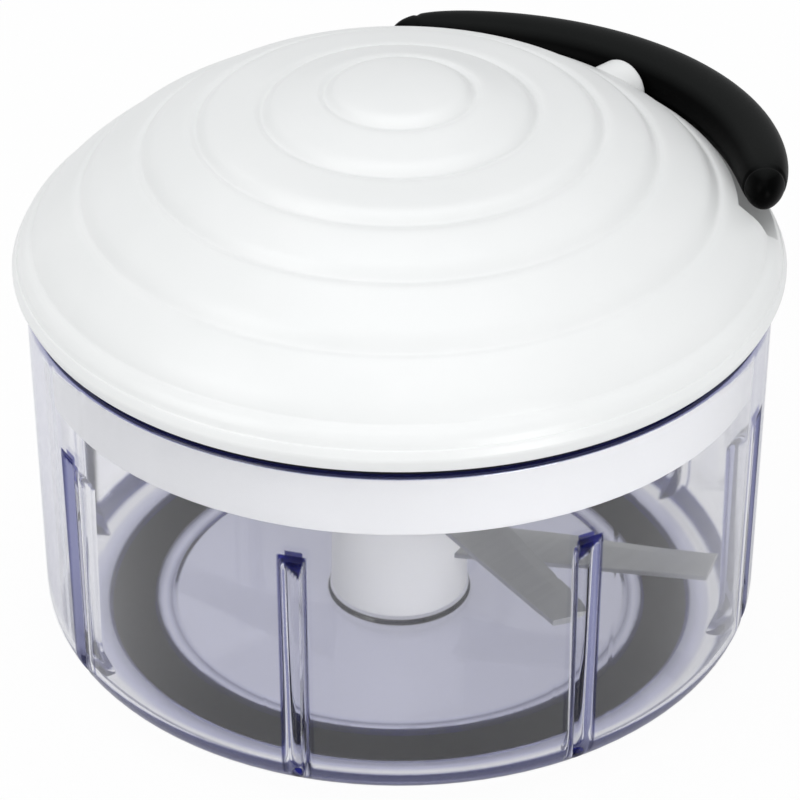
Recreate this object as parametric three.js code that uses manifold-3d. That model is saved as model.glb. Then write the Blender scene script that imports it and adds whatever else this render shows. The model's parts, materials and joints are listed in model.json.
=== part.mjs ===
// Pull-cord food chopper: a clear bowl with a three-blade rotor, under a lid that holds the cord drive.
// Millimetres. +Z is up, +X is the way the handle is pulled, and the origin is the centre of the base.
import * as THREE from "three";
import { mergeVertices } from "three/addons/utils/BufferGeometryUtils.js";
import Module from "manifold-3d";

// Fits shared by all pieces
const fitGap = 0.3;
const overrun = 1;

// Bowl
const bowlRimRadius = 63;
const bowlDraft = 1.1;
const bowlHeight = 65.2;
const bowlWall = 2.2;
const bowlCornerRadius = 7.5;
const baseLift = 0.3;
const floorThickness = 1.8;
const baseRecessRadius = 40;
const baseRecessDepth = 0.4;
const hubPadRadius = 12.8;
const hubPadHeight = 1.3;

// Flutes in the bowl's wall: a groove outside, a rib inside
const fluteCount = 8;
const firstFluteAngle = -61.4;
const fluteWidth = 4.4;
const fluteDepth = 3.9;
const fluteTopBelowRim = 16.2;
const fluteCeilingDrop = 3;
const ribWall = 2.2;
const ribFootReach = 2.7;
const ribFootHeight = 6;

// Non-slip ring under the floor
const stripInnerRadius = 43.2;
const stripWidth = 7.2;
const stripThickness = 0.9;
const stripGrooveGap = 0.2;

// Spindle pin and the boss that holds it
const pinRadius = 2.5;
const pinTipChamfer = 0.8;
const pinHeadroom = 0.6;
const pinSocketFloor = 1.2;
const spindleBossWall = 2.2;
const spindleBossHeight = 9;

// Blade hub
const hubRadius = 12;
const hubTaper = 0.6;
const hubEdgeRadius = 0.5;
const hubHeadroom = 4;
const hubBoreClearance = 0.5;
const hubWeb = 2;
const socketAcrossFlats = 12;
const socketDepth = 10;
const lowerBushHeight = 8;
const upperBushHeight = 7.5;

// Blades
const bladeThickness = 1.2;
const bladeRootWidth = 10.4;
const bladeTipWidth = 7.7;
const bladeTipSlant = 1.4;
const bladeTipClearance = 1.1;
const bladeRootWeb = 1.2;
const bladeShoulderShare = 0.5;
const bladeCurveShare = 0.8;
const bladePlan = [
  { name: "blade_lower", angle: -56.5, heightShare: 0.19 },
  { name: "blade_middle", angle: 99.5, heightShare: 0.348 },
  { name: "blade_upper", angle: -104.5, heightShare: 0.503 },
];

// Lid base
const sealBand = 1.5;
const skirtClearance = 0.7;
const skirtDepth = 12.2;
const skirtWall = 1.8;
const lidPlateRecess = 3;
const lidPlateThickness = 2;
const lidBaseFlange = 1.6;
const collarWall = 2.7;

// Lid cover
const lidOverhang = 2;
const lidEdgeInset = 1.1;
const lidEdgeHeight = 3;
const lidEdgeWall = 2;
const domeRise = 32.1;
const domeWall = 2.2;
const rippleHeight = 0.5;
const tierRadiusShares = [0.191, 0.343, 0.498, 0.66, 0.817, 0.945];
const tierHeightShares = [0.966, 0.86, 0.766, 0.642, 0.436, 0.162];
const rippleSampleShares = [0, 0.17, 0.5, 0.83];
const smoothSampleShares = [0];
const crownRoom = 6.8;
const crownBossWall = 2.7;
const crownSkin = 2.5;

// Screws that hold the lid base to the cover
const lidScrewCount = 4;
const firstLidScrewAngle = 45;
const lidScrewCircleShare = 0.71;
const lidScrewRadius = 1.5;
const lidScrewHeadRadius = 3;
const lidScrewHeadHeight = 1.2;
const lidScrewLength = 14;
const lidPostWall = 2.2;

// Cord nozzle and eyelet
const nozzleRadius = 5;
const nozzleHeight = 10;
const nozzleLength = 12.7;
const eyeletWall = 1.2;
const eyeletLength = 6;
const nozzleTipGap = 0.3;

// Handle and its seat in the lid
const handleInset = 8;
const handleHeight = 9.3;
const handleMiddleWidth = 12.8;
const handleOuterArcRadius = 54;
const handleHalfHeight = 5.3;
const handleHalfAngle = 45.5;
const handleEndPower = 10;
const seatWallGap = 0.5;
const seatFloorGap = 0.9;
const seatWall = 1.8;
const seatEndAngle = 2;
const knotRadius = 2.6;
const knotDepth = 5.4;
const plugThickness = 1.5;
const plugInset = 0.4;

// Cord and its winding on the drum
const cordDiameter = 1.8;
const cordClearance = 0.5;
const windingRadius = 11;
const windingTurns = 4;
const windingPitch = 2.3;

// Drum and recoil spring
const axleRadius = 2.5;
const drumFlangeRadius = 17.5;
const drumFlangeThickness = 1.2;
const arborRadius = 5;
const springTurns = 4.5;
const springStrip = 0.6;
const springHousingRadius = 19;
const springHousingWall = 1.5;
const springHousingHeight = 6.1;
const springHousingRoof = 1.2;
const springPlateThickness = 1;
const springPlateMargin = 3;
const springScrewCount = 3;
const firstSpringScrewAngle = 60;
const springScrewRadius = 1;
const springScrewHeadRadius = 2.2;
const springScrewHeadHeight = 1.2;
const springScrewLength = 6.4;
const springPostWall = 1.7;
const springEarThickness = 1.5;

// Ratchet and pawls
const ratchetTeeth = 8;
const ratchetTipRadius = 9.5;
const ratchetToothDepth = 1.7;
const pawlThickness = 3;
const pawlPivotRadius = 14.5;
const pawlBodyRadius = 2.2;
const pawlTipRadius = 0.6;
const pawlPinRadius = 1;
const pawlReachAngle = 45;
const pawlToothLead = 7;

// Drive coupler
const couplerNeckRadius = 7.5;
const couplerFlangeRadius = 11;
const couplerFlangeThickness = 2;
const couplerBossAcrossFlats = 10;
const couplerBlindDepth = 12;
const washerThickness = 0.8;
const bushWall = 1.7;
const bushFlangeThickness = 1;

// Facets
const roundFacets = 48;
const turnedFacets = 32;
const shaftFacets = 20;
const smallFacets = 10;
const arcFacets = 4;
const windingFacets = 18;
const cordFacets = 6;
const springFacets = 22;
const handleFacetsAlong = 20;
const handleFacetsAround = 14;

// Heights of the bowl and rotor, from the base up
const floorTop = baseLift + floorThickness;
const padTop = floorTop + hubPadHeight;
const hubBottom = padTop + fitGap;
const skirtBottom = bowlHeight - skirtDepth;
const lidPlateBottom = skirtBottom + lidPlateRecess;
const lidPlateTop = lidPlateBottom + lidPlateThickness;
const hubTop = lidPlateBottom - hubHeadroom;
const socketFloor = hubTop - socketDepth;
const hubBoreTop = socketFloor - hubWeb;
const pinTop = hubBoreTop - pinHeadroom;
const pinBottom = baseLift + pinSocketFloor + fitGap;
const spindleBossTop = floorTop + spindleBossHeight;

// Heights of the lid, from the bowl's rim up to the crown
const lidUnderside = bowlHeight + sealBand;
const lidWidestHeight = lidUnderside + lidEdgeHeight;
const crownTop = lidWidestHeight + domeRise;
const nozzleAxis = lidWidestHeight + nozzleHeight;
const handleAxis = lidWidestHeight + handleHeight;

// Heights of the drive, from the crown down to the coupler
const springHousingTop = crownTop - crownRoom;
const springHousingBottom = springHousingTop - springHousingHeight;
const springPlateTop = springHousingBottom - fitGap;
const springPlateBottom = springPlateTop - springPlateThickness;
const drumTop = springPlateBottom - fitGap;
const spoolTop = drumTop - drumFlangeThickness;
const spoolHeight = windingTurns * windingPitch + cordDiameter + fitGap + fitGap;
const spoolBottom = spoolTop - spoolHeight;
const drumBottom = spoolBottom - drumFlangeThickness;
const ratchetTop = drumBottom - fitGap;
const ratchetBottom = ratchetTop - pawlThickness;
const couplerFlangeTop = ratchetBottom - fitGap;
const couplerFlangeBottom = couplerFlangeTop - couplerFlangeThickness;
const washerTop = couplerFlangeBottom - fitGap;
const washerBottom = washerTop - washerThickness;
const bushTop = washerBottom - fitGap;
const bushFlangeBottom = bushTop - bushFlangeThickness;
const collarTop = bushFlangeBottom - fitGap;

// Radii that follow from the bowl
const bowlFootRadius = bowlRimRadius - bowlDraft;
const skirtRadius = bowlRimRadius - bowlWall - skirtClearance;
const lidRadius = bowlRimRadius + lidOverhang;
const lidEdgeRadius = lidRadius - lidEdgeInset;
const lidEdgeInnerRadius = lidEdgeRadius - lidEdgeWall;
const grooveApexRadius = bowlRimRadius - fluteDepth;
const ribApexRadius = grooveApexRadius - ribWall;
const bladeTipRadius = ribApexRadius - bladeTipClearance;
const spindleBossRadius = pinRadius + fitGap + spindleBossWall;
const hubBoreRadius = spindleBossRadius + hubBoreClearance;
const bladeRootRadius = hubBoreRadius + bladeRootWeb;
const lidScrewCircle = lidRadius * lidScrewCircleShare;
const lidPostRadius = lidScrewRadius + fitGap + lidPostWall;
const axleBoreRadius = axleRadius + fitGap;
const crownBossRadius = axleBoreRadius + crownBossWall;
const bushInnerRadius = couplerNeckRadius + fitGap;
const bushRadius = bushInnerRadius + bushWall;
const collarInnerRadius = bushRadius + fitGap;
const collarRadius = collarInnerRadius + collarWall;
const cordRadius = cordDiameter / 2;
const spoolRadius = windingRadius - cordRadius - fitGap;
const ratchetRootRadius = ratchetTipRadius - ratchetToothDepth;
const springPostRadius = springScrewRadius + fitGap + springPostWall;
const springScrewCircle = springHousingRadius + springPostRadius + springHousingWall;
const handleInnerRadius = lidRadius - handleInset;
const handleOffset = handleInnerRadius + handleMiddleWidth - handleOuterArcRadius;
const nozzleTip = handleInnerRadius - nozzleTipGap;
const cordBoreRadius = cordRadius + cordClearance;
const eyeletRadius = cordBoreRadius + eyeletWall;
const nozzleBoreRadius = eyeletRadius + fitGap;

const wasm = await Module();
wasm.setup();

// A closed solid from a geometry: shared vertices merged, triangles without area left out.
function solidOf(geometry) {
  for (const name of Object.keys(geometry.attributes)) {
    if (name !== "position") geometry.deleteAttribute(name);
  }
  const merged = mergeVertices(geometry);
  const corners = merged.index.array;
  const kept = [];
  for (let i = 0; i < corners.length; i += 3) {
    const [a, b, c] = corners.slice(i, i + 3);
    if (a !== b && b !== c && c !== a) kept.push(a, b, c);
  }
  const vertProperties = new Float32Array(merged.attributes.position.array);
  const triVerts = new Uint32Array(kept);
  return new wasm.Manifold(new wasm.Mesh({ numProp: 3, vertProperties, triVerts }));
}

// The solid's triangles as a geometry that a mesh can show.
function geometryOf(solid) {
  const { vertProperties, triVerts } = solid.getMesh();
  const geometry = new THREE.BufferGeometry();
  geometry.setAttribute("position", new THREE.BufferAttribute(vertProperties, 3));
  geometry.setIndex(new THREE.BufferAttribute(triVerts, 1));
  geometry.computeVertexNormals();
  return geometry;
}

// A turned solid from a profile of [radius, height] points, counter-clockwise in that plane.
function turned(profile, facets) {
  const points = profile.map(([radius, height]) => new THREE.Vector2(radius, height));
  if (points[0].x > 0) points.push(points[0].clone());
  return solidOf(new THREE.LatheGeometry(points, facets).rotateX(Math.PI / 2));
}

function rod(radius, bottom, top, facets) {
  return turned([[0, bottom], [radius, bottom], [radius, top], [0, top]], facets);
}

function tube(inner, outer, bottom, top, facets) {
  return turned([[inner, bottom], [outer, bottom], [outer, top], [inner, top]], facets);
}

// A hexagonal bar of a given size across its flats.
function hexBar(acrossFlats, bottom, top) {
  return rod(acrossFlats / 2 / Math.cos(Math.PI / 6), bottom, top, 6);
}

// A bar of round section along +X, at a height.
function bar(radius, from, to, height, facets) {
  const geometry = new THREE.CylinderGeometry(radius, radius, to - from, facets);
  return solidOf(geometry.rotateZ(-Math.PI / 2).translate((from + to) / 2, 0, height));
}

// A flat outline carried straight up.
function plate(shape, bottom, top) {
  const settings = { depth: top - bottom, bevelEnabled: false, curveSegments: arcFacets };
  return solidOf(new THREE.ExtrudeGeometry(shape, settings).translate(0, 0, bottom));
}

// The solids of copies spaced evenly round the axis: make(angle) gives each one.
function roundTheAxis(count, firstAngle, make) {
  const copies = [];
  for (let k = 0; k < count; k += 1) {
    copies.push(make(THREE.MathUtils.degToRad(firstAngle + (k * 360) / count)));
  }
  return copies;
}

function joined(solids) {
  return solids.reduce((whole, solid) => whole.add(solid));
}

function rodAt(distance, angle, radius, bottom, top, facets) {
  const geometry = new THREE.CylinderGeometry(radius, radius, top - bottom, facets);
  geometry.rotateX(Math.PI / 2);
  geometry.translate(distance * Math.cos(angle), distance * Math.sin(angle), (bottom + top) / 2);
  return solidOf(geometry);
}

// Points of a quarter circle of a given radius from one angle to another, in quarter turns.
function quarterArc(centreRadius, centreHeight, radius, startQuarter) {
  const points = [];
  for (let i = 0; i <= arcFacets; i += 1) {
    const angle = (Math.PI / 2) * (startQuarter + i / arcFacets);
    points.push([centreRadius + radius * Math.cos(angle), centreHeight + radius * Math.sin(angle)]);
  }
  return points;
}

function finish(color, roughness, metalness = 0) {
  return new THREE.MeshStandardMaterial({ color, roughness, metalness });
}

const clearPlastic = () => finish(0xb9b8d6, 0.12);
const whitePlastic = () => finish(0xf0f0ef, 0.32);
const hubPlastic = () => finish(0xe6e6e4, 0.4);
const blackPlastic = () => finish(0x1f2222, 0.38);
const darkRubber = () => finish(0x2b2b30, 0.7);
const bladeSteel = () => finish(0x9a9c9b, 0.32, 1);
const pinSteel = () => finish(0xb4b6b8, 0.22, 1);
const acetal = () => finish(0xd8d6cc, 0.45);
const cordFibre = () => finish(0xe9e7df, 0.85);

function piece(name, solid, material) {
  const mesh = new THREE.Mesh(geometryOf(solid), material);
  mesh.name = name;
  return mesh;
}

// A wedge along +X whose edge points to the axis. Its edge may lean inwards at the foot, and its top slopes
// down towards the edge by a drop.
function wedge({ apexTop, apexFoot, outer, halfWidth, bottom, top, drop }) {
  const shape = new THREE.Shape();
  shape.moveTo(apexTop, 0);
  shape.lineTo(outer, -halfWidth);
  shape.lineTo(outer, halfWidth);
  const geometry = new THREE.ExtrudeGeometry(shape, { depth: top - bottom, bevelEnabled: false });
  geometry.translate(0, 0, bottom);
  const place = geometry.attributes.position;
  const middle = (bottom + top) / 2;
  for (let i = 0; i < place.count; i += 1) {
    const atApex = place.getX(i) < (apexTop + outer) / 2;
    if (atApex && place.getZ(i) > middle) place.setZ(i, top - drop);
    if (atApex && place.getZ(i) < middle) place.setX(i, apexFoot);
  }
  return geometry;
}

// Clear bowl: turned body less its inside, with grooves cut in the wall and ribs left standing inside.
function makeBowl() {
  const cornerHeight = baseLift + bowlCornerRadius;
  const body = turned([
    [0, baseLift],
    ...quarterArc(bowlFootRadius - bowlCornerRadius, cornerHeight, bowlCornerRadius, 3),
    [bowlRimRadius, bowlHeight],
    [0, bowlHeight],
  ], roundFacets);
  const innerCorner = bowlCornerRadius - bowlWall;
  const innerFoot = bowlFootRadius - bowlWall;
  const inside = turned([
    [0, floorTop],
    ...quarterArc(innerFoot - innerCorner, floorTop + innerCorner, innerCorner, 3),
    [bowlRimRadius - bowlWall, bowlHeight],
    [bowlRimRadius - bowlWall, bowlHeight + overrun],
    [0, bowlHeight + overrun],
  ], roundFacets);

  const outer = bowlRimRadius + overrun;
  const fluteTop = bowlHeight - fluteTopBelowRim;
  const steepness = fluteWidth / 2 / fluteDepth;
  const ceilingSlope = fluteCeilingDrop / fluteDepth;
  const ribs = roundTheAxis(fluteCount, firstFluteAngle, (angle) => solidOf(wedge({
    apexTop: ribApexRadius,
    apexFoot: ribApexRadius,
    outer,
    halfWidth: (outer - ribApexRadius) * steepness,
    bottom: baseLift,
    top: fluteTop + ribWall,
    drop: (outer - ribApexRadius) * ceilingSlope,
  }).rotateZ(angle)));
  const feet = roundTheAxis(fluteCount, firstFluteAngle, (angle) => solidOf(wedge({
    apexTop: ribApexRadius,
    apexFoot: ribApexRadius - ribFootReach,
    outer,
    halfWidth: (outer - ribApexRadius) * steepness,
    bottom: baseLift,
    top: floorTop + ribFootHeight,
    drop: 0,
  }).rotateZ(angle)));
  const grooves = roundTheAxis(fluteCount, firstFluteAngle, (angle) => solidOf(wedge({
    apexTop: grooveApexRadius,
    apexFoot: grooveApexRadius,
    outer,
    halfWidth: (outer - grooveApexRadius) * steepness,
    bottom: baseLift - overrun,
    top: fluteTop + overrun * ceilingSlope,
    drop: (outer - grooveApexRadius) * ceilingSlope,
  }).rotateZ(angle)));

  const ringGroove = tube(
    stripInnerRadius - fitGap,
    stripInnerRadius + stripWidth + fitGap,
    baseLift - overrun,
    stripThickness + stripGrooveGap,
    roundFacets,
  );
  const recess = rod(baseRecessRadius, baseLift - overrun, baseLift + baseRecessDepth, roundFacets);
  const pad = rod(hubPadRadius, baseLift + pinSocketFloor, padTop, turnedFacets);
  const boss = rod(spindleBossRadius, baseLift + pinSocketFloor, spindleBossTop, shaftFacets);
  const pinSocket = rod(pinRadius + fitGap, pinBottom - fitGap, spindleBossTop + overrun, shaftFacets);
  return body
    .subtract(inside.subtract(joined([...ribs, ...feet])))
    .subtract(joined(grooves))
    .add(joined([pad, boss]))
    .subtract(joined([ringGroove, recess, pinSocket]));
}

function makeSpindlePin() {
  return turned([
    [0, pinBottom],
    [pinRadius, pinBottom],
    [pinRadius, pinTop - pinTipChamfer],
    [pinRadius - pinTipChamfer, pinTop],
    [0, pinTop],
  ], shaftFacets);
}

// Plan of a blade along +X: straight trailing edge, tip cut at a slant, curved leading edge.
function bladeOutline(margin) {
  const root = bladeRootWidth / 2 + margin;
  const tip = bladeTipWidth / 2 + margin;
  const shape = new THREE.Shape();
  shape.moveTo(bladeRootRadius - margin, -root);
  shape.lineTo(bladeTipRadius - bladeTipSlant, -tip);
  shape.lineTo(bladeTipRadius - bladeTipWidth * bladeTipSlant / bladeTipRadius, tip);
  shape.quadraticCurveTo(bladeTipRadius * bladeCurveShare, tip, bladeTipRadius * bladeShoulderShare, root);
  shape.lineTo(bladeRootRadius - margin, root);
  return shape;
}

function bladeHeight({ heightShare }) {
  return hubBottom + (hubTop - hubBottom) * heightShare;
}

// Blade hub: tapered boss with a bore for the bushes, a hexagonal socket on top and a slot for each blade.
function makeBladeHub() {
  const body = turned([
    [0, hubBottom],
    ...quarterArc(hubRadius - hubEdgeRadius, hubBottom + hubEdgeRadius, hubEdgeRadius, 3),
    [hubRadius - hubTaper, hubTop],
    [0, hubTop],
  ], turnedFacets);
  const bore = rod(hubBoreRadius, hubBottom - overrun, hubBoreTop, shaftFacets);
  const socket = hexBar(socketAcrossFlats, socketFloor, hubTop + overrun);
  const slots = bladePlan.map((blade) => {
    const middle = bladeHeight(blade);
    const reach = bladeThickness / 2 + fitGap;
    const shape = bladeOutline(fitGap);
    const geometry = new THREE.ExtrudeGeometry(shape, { depth: reach + reach, bevelEnabled: false });
    return solidOf(geometry.translate(0, 0, middle - reach).rotateZ(THREE.MathUtils.degToRad(blade.angle)));
  });
  return body.subtract(joined([bore, socket, ...slots]));
}

function makeBlade(blade) {
  const solid = plate(bladeOutline(0), -bladeThickness / 2, bladeThickness / 2);
  const mesh = piece(blade.name, solid, bladeSteel());
  mesh.position.z = bladeHeight(blade);
  mesh.rotation.z = THREE.MathUtils.degToRad(blade.angle);
  return mesh;
}

function makeHubBush(bottom, top) {
  return tube(pinRadius + fitGap, hubBoreRadius - fitGap, bottom, top, shaftFacets);
}

// Smooth fall of the dome from the crown to its widest ring, without the ripples.
const domeCurve = new THREE.SplineCurve([
  new THREE.Vector2(0, 1),
  ...tierRadiusShares.map((share, tier) => new THREE.Vector2(share, tierHeightShares[tier])),
  new THREE.Vector2(1, 0),
]);

// Ripple over one tier, from one riser (0) to the next (1): a hollow just outside the riser, then a swell.
function ripple(share) {
  return -rippleHeight * (Math.sin(2 * Math.PI * share) + Math.sin(4 * Math.PI * share) / 2);
}

// Outline of the dome from its widest ring up to the crown, as [radius, height], with points at the given
// shares of each tier.
function domeOutline(sampleShares, withRipples) {
  const points = [[lidRadius, lidWidestHeight]];
  const spans = tierRadiusShares.length + 1;
  for (let span = spans - 1; span >= 0; span -= 1) {
    for (const share of [...sampleShares].reverse()) {
      const along = (span + share) / spans;
      const mean = domeCurve.getPoint(along);
      let phase = share;
      if (span === 0) phase = (1 + share) / 2;
      if (span === spans - 1) phase = share / 2;
      const height = lidWidestHeight + domeRise * mean.y + (withRipples ? ripple(phase) : 0);
      points.push([lidRadius * mean.x, height]);
    }
  }
  return points;
}

// A sector of a thick ring about +X, between two radii and out to an angle on each side.
function sector(inner, outer, halfAngle, bottom, top) {
  const shape = new THREE.Shape();
  const reach = THREE.MathUtils.degToRad(halfAngle);
  shape.absarc(0, 0, outer, -reach, reach, false);
  shape.absarc(0, 0, inner, reach, -reach, true);
  const settings = { depth: top - bottom, bevelEnabled: false, curveSegments: roundFacets / 4 };
  return solidOf(new THREE.ExtrudeGeometry(shape, settings).translate(0, 0, bottom));
}

// Lid cover: rippled dome with the handle's seat cut in its slope, the cord nozzle, posts and crown boss.
function makeLidCover() {
  const outside = turned([
    [0, lidUnderside],
    [lidEdgeRadius, lidUnderside],
    ...domeOutline(rippleSampleShares, true),
  ], roundFacets);
  const innerScale = lidEdgeInnerRadius / lidRadius;
  const ledge = lidUnderside + lidBaseFlange + fitGap;
  const ceiling = domeOutline(smoothSampleShares, false)
    .map(([radius, height]) => [radius * innerScale, height - domeWall]);
  const hollow = turned([
    [0, lidUnderside - overrun],
    [lidEdgeInnerRadius, lidUnderside - overrun],
    [lidEdgeInnerRadius, ledge],
    ...ceiling.filter(([, height]) => height > ledge),
  ], roundFacets);

  const seatRadius = handleInnerRadius - seatWallGap;
  const seatFloor = handleAxis - handleHalfHeight - seatFloorGap;
  const seatAngle = handleHalfAngle + seatEndAngle;
  const seatTop = crownTop + overrun;
  const seat = sector(seatRadius, lidRadius + handleMiddleWidth, seatAngle, seatFloor, seatTop);
  const wallAngle = seatAngle + THREE.MathUtils.radToDeg(seatWall / seatRadius);
  const seatLining = sector(seatRadius - seatWall, lidRadius, wallAngle, seatFloor - seatWall, seatTop);

  const inserts = [
    rod(crownBossRadius, springHousingTop + fitGap, crownTop, shaftFacets),
    ...roundTheAxis(lidScrewCount, firstLidScrewAngle, (angle) => rodAt(
      lidScrewCircle, angle, lidPostRadius, lidPlateTop + fitGap, crownTop, smallFacets,
    )),
    ...roundTheAxis(springScrewCount, firstSpringScrewAngle, (angle) => rodAt(
      springScrewCircle, angle, springPostRadius, springHousingBottom + springEarThickness + fitGap,
      crownTop, smallFacets,
    )),
  ];
  const shell = outside.subtract(hollow.subtract(seatLining));
  const belowDome = outside.add(rod(lidEdgeInnerRadius, lidPlateTop, lidUnderside + overrun, roundFacets));
  const posts = joined(inserts).intersect(belowDome);
  const nozzle = bar(nozzleRadius, nozzleTip - nozzleLength, nozzleTip, nozzleAxis, shaftFacets);
  const nozzleBore = bar(
    nozzleBoreRadius, nozzleTip - nozzleLength - overrun, nozzleTip + overrun, nozzleAxis, shaftFacets,
  );
  const axleSocket = rod(axleBoreRadius, springHousingTop - overrun, crownTop - crownSkin, shaftFacets);
  const lidScrewHoles = roundTheAxis(lidScrewCount, firstLidScrewAngle, (angle) => rodAt(
    lidScrewCircle, angle, lidScrewRadius + fitGap, lidPlateBottom,
    lidPlateBottom + lidScrewLength + fitGap, smallFacets,
  ));
  const springScrewHoles = roundTheAxis(springScrewCount, firstSpringScrewAngle, (angle) => rodAt(
    springScrewCircle, angle, springScrewRadius + fitGap, springPlateBottom,
    springPlateBottom + springScrewLength + fitGap, smallFacets,
  ));
  return shell
    .add(posts)
    .subtract(seat)
    .add(nozzle)
    .subtract(joined([nozzleBore, axleSocket, ...lidScrewHoles, ...springScrewHoles]));
}

// Lid base: skirt that enters the bowl, closing plate, flange over the rim and collar for the coupler's bush.
function makeLidBase() {
  const flangeRadius = lidEdgeInnerRadius - fitGap;
  const skirt = tube(
    skirtRadius - skirtWall, skirtRadius, skirtBottom, lidUnderside + lidBaseFlange, roundFacets,
  );
  const flange = tube(
    skirtRadius - skirtWall, flangeRadius, lidUnderside, lidUnderside + lidBaseFlange, roundFacets,
  );
  const closing = tube(
    collarInnerRadius, skirtRadius - skirtWall / 2, lidPlateBottom, lidPlateTop, roundFacets,
  );
  const collar = tube(collarInnerRadius, collarRadius, lidPlateBottom, collarTop, turnedFacets);
  const bore = rod(collarInnerRadius, lidPlateBottom - overrun, collarTop + overrun, turnedFacets);
  const screwHoles = roundTheAxis(lidScrewCount, firstLidScrewAngle, (angle) => rodAt(
    lidScrewCircle, angle, lidScrewRadius + fitGap, lidPlateBottom - overrun, lidPlateTop + overrun,
    smallFacets,
  ));
  return joined([skirt, flange, closing, collar]).subtract(joined([bore, ...screwHoles]));
}

function makeRimSeal() {
  return tube(
    skirtRadius + fitGap, bowlRimRadius - sealBand / 3, bowlHeight + fitGap, lidUnderside - fitGap, roundFacets,
  );
}

// A headed screw that points up, with its head under a face at a height.
function makeScrew(circle, angle, face, { radius, headRadius, headHeight, length }) {
  const headTop = face - fitGap;
  const head = rodAt(circle, angle, headRadius, headTop - headHeight, headTop, smallFacets);
  const shank = rodAt(circle, angle, radius, headTop - headHeight / 2, face + length, smallFacets);
  return head.add(shank);
}

const lidScrew = {
  radius: lidScrewRadius,
  headRadius: lidScrewHeadRadius,
  headHeight: lidScrewHeadHeight,
  length: lidScrewLength,
};
const springScrew = {
  radius: springScrewRadius,
  headRadius: springScrewHeadRadius,
  headHeight: springScrewHeadHeight,
  length: springScrewLength,
};

function makeCouplerBush() {
  const sleeve = tube(bushInnerRadius, bushRadius, lidPlateBottom, bushTop, turnedFacets);
  const flange = tube(bushInnerRadius, collarRadius, bushFlangeBottom, bushTop, turnedFacets);
  return sleeve.add(flange);
}

// Drive coupler: hexagonal nose for the hub's socket, round neck in the bush, flange and a hexagonal seat.
function makeDriveCoupler() {
  const nose = hexBar(socketAcrossFlats - fitGap - fitGap, socketFloor + fitGap, hubTop + fitGap + overrun);
  const neck = rod(couplerNeckRadius, hubTop + fitGap, couplerFlangeTop, turnedFacets);
  const flange = rod(couplerFlangeRadius, couplerFlangeBottom, couplerFlangeTop, turnedFacets);
  const seat = hexBar(couplerBossAcrossFlats, couplerFlangeBottom, ratchetTop);
  const bore = rod(axleBoreRadius, couplerFlangeTop - couplerBlindDepth, ratchetTop + overrun, shaftFacets);
  return joined([nose, neck, flange, seat]).subtract(bore);
}

function makeThrustWasher() {
  return tube(couplerNeckRadius + fitGap, couplerFlangeRadius, washerBottom, washerTop, turnedFacets);
}

// Ratchet wheel: each tooth has a radial face that a pawl pushes, and a straight back down to the next one.
function makeRatchetWheel() {
  const shape = new THREE.Shape();
  for (let tooth = 0; tooth < ratchetTeeth; tooth += 1) {
    const angle = (2 * Math.PI * tooth) / ratchetTeeth;
    const [x, y] = [Math.cos(angle), Math.sin(angle)];
    if (tooth === 0) shape.moveTo(ratchetRootRadius * x, ratchetRootRadius * y);
    else shape.lineTo(ratchetRootRadius * x, ratchetRootRadius * y);
    shape.lineTo(ratchetTipRadius * x, ratchetTipRadius * y);
  }
  const hole = hexBar(couplerBossAcrossFlats + fitGap + fitGap, ratchetBottom - overrun, ratchetTop + overrun);
  return plate(shape, ratchetBottom, ratchetTop).subtract(hole);
}

const pawlTipAngle = THREE.MathUtils.degToRad(-pawlToothLead);
const pawlPivotAngle = THREE.MathUtils.degToRad(-pawlToothLead - pawlReachAngle);

// A pawl at its rest place: round body on its pin, and a nose in front of a tooth's radial face.
function makePawl() {
  const pivot = new THREE.Vector2(Math.cos(pawlPivotAngle), Math.sin(pawlPivotAngle));
  pivot.multiplyScalar(pawlPivotRadius);
  const tip = new THREE.Vector2(Math.cos(pawlTipAngle), Math.sin(pawlTipAngle));
  tip.multiplyScalar(ratchetTipRadius);
  const lie = tip.clone().sub(pivot).angle();
  const quarter = Math.PI / 2;
  const shape = new THREE.Shape();
  shape.absarc(pivot.x, pivot.y, pawlBodyRadius, lie + quarter, lie - quarter + 2 * Math.PI, false);
  shape.absarc(tip.x, tip.y, pawlTipRadius, lie - quarter, lie + quarter, false);
  const hole = rodAt(
    pawlPivotRadius, pawlPivotAngle, pawlPinRadius + fitGap, ratchetBottom - overrun, ratchetTop + overrun,
    smallFacets,
  );
  return plate(shape, ratchetBottom, ratchetTop).subtract(hole);
}

// Cord drum: spool between two flanges, arbor for the spring above, pins for the pawls below.
function makeCordDrum() {
  const arborTop = springHousingTop - springHousingRoof - fitGap;
  const body = turned([
    [axleBoreRadius, drumBottom],
    [drumFlangeRadius, drumBottom],
    [drumFlangeRadius, spoolBottom],
    [spoolRadius, spoolBottom],
    [spoolRadius, spoolTop],
    [drumFlangeRadius, spoolTop],
    [drumFlangeRadius, drumTop],
    [arborRadius, drumTop],
    [arborRadius, arborTop],
    [axleBoreRadius, arborTop],
  ], turnedFacets);
  const pins = [0, Math.PI].map((turn) => rodAt(
    pawlPivotRadius, pawlPivotAngle + turn, pawlPinRadius, ratchetBottom, drumBottom + drumFlangeThickness / 2,
    smallFacets,
  ));
  return joined([body, ...pins]);
}

function makeDrumAxle() {
  const bottom = couplerFlangeTop - couplerBlindDepth + fitGap;
  return rod(axleRadius, bottom, crownTop - crownSkin - fitGap, shaftFacets);
}

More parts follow.
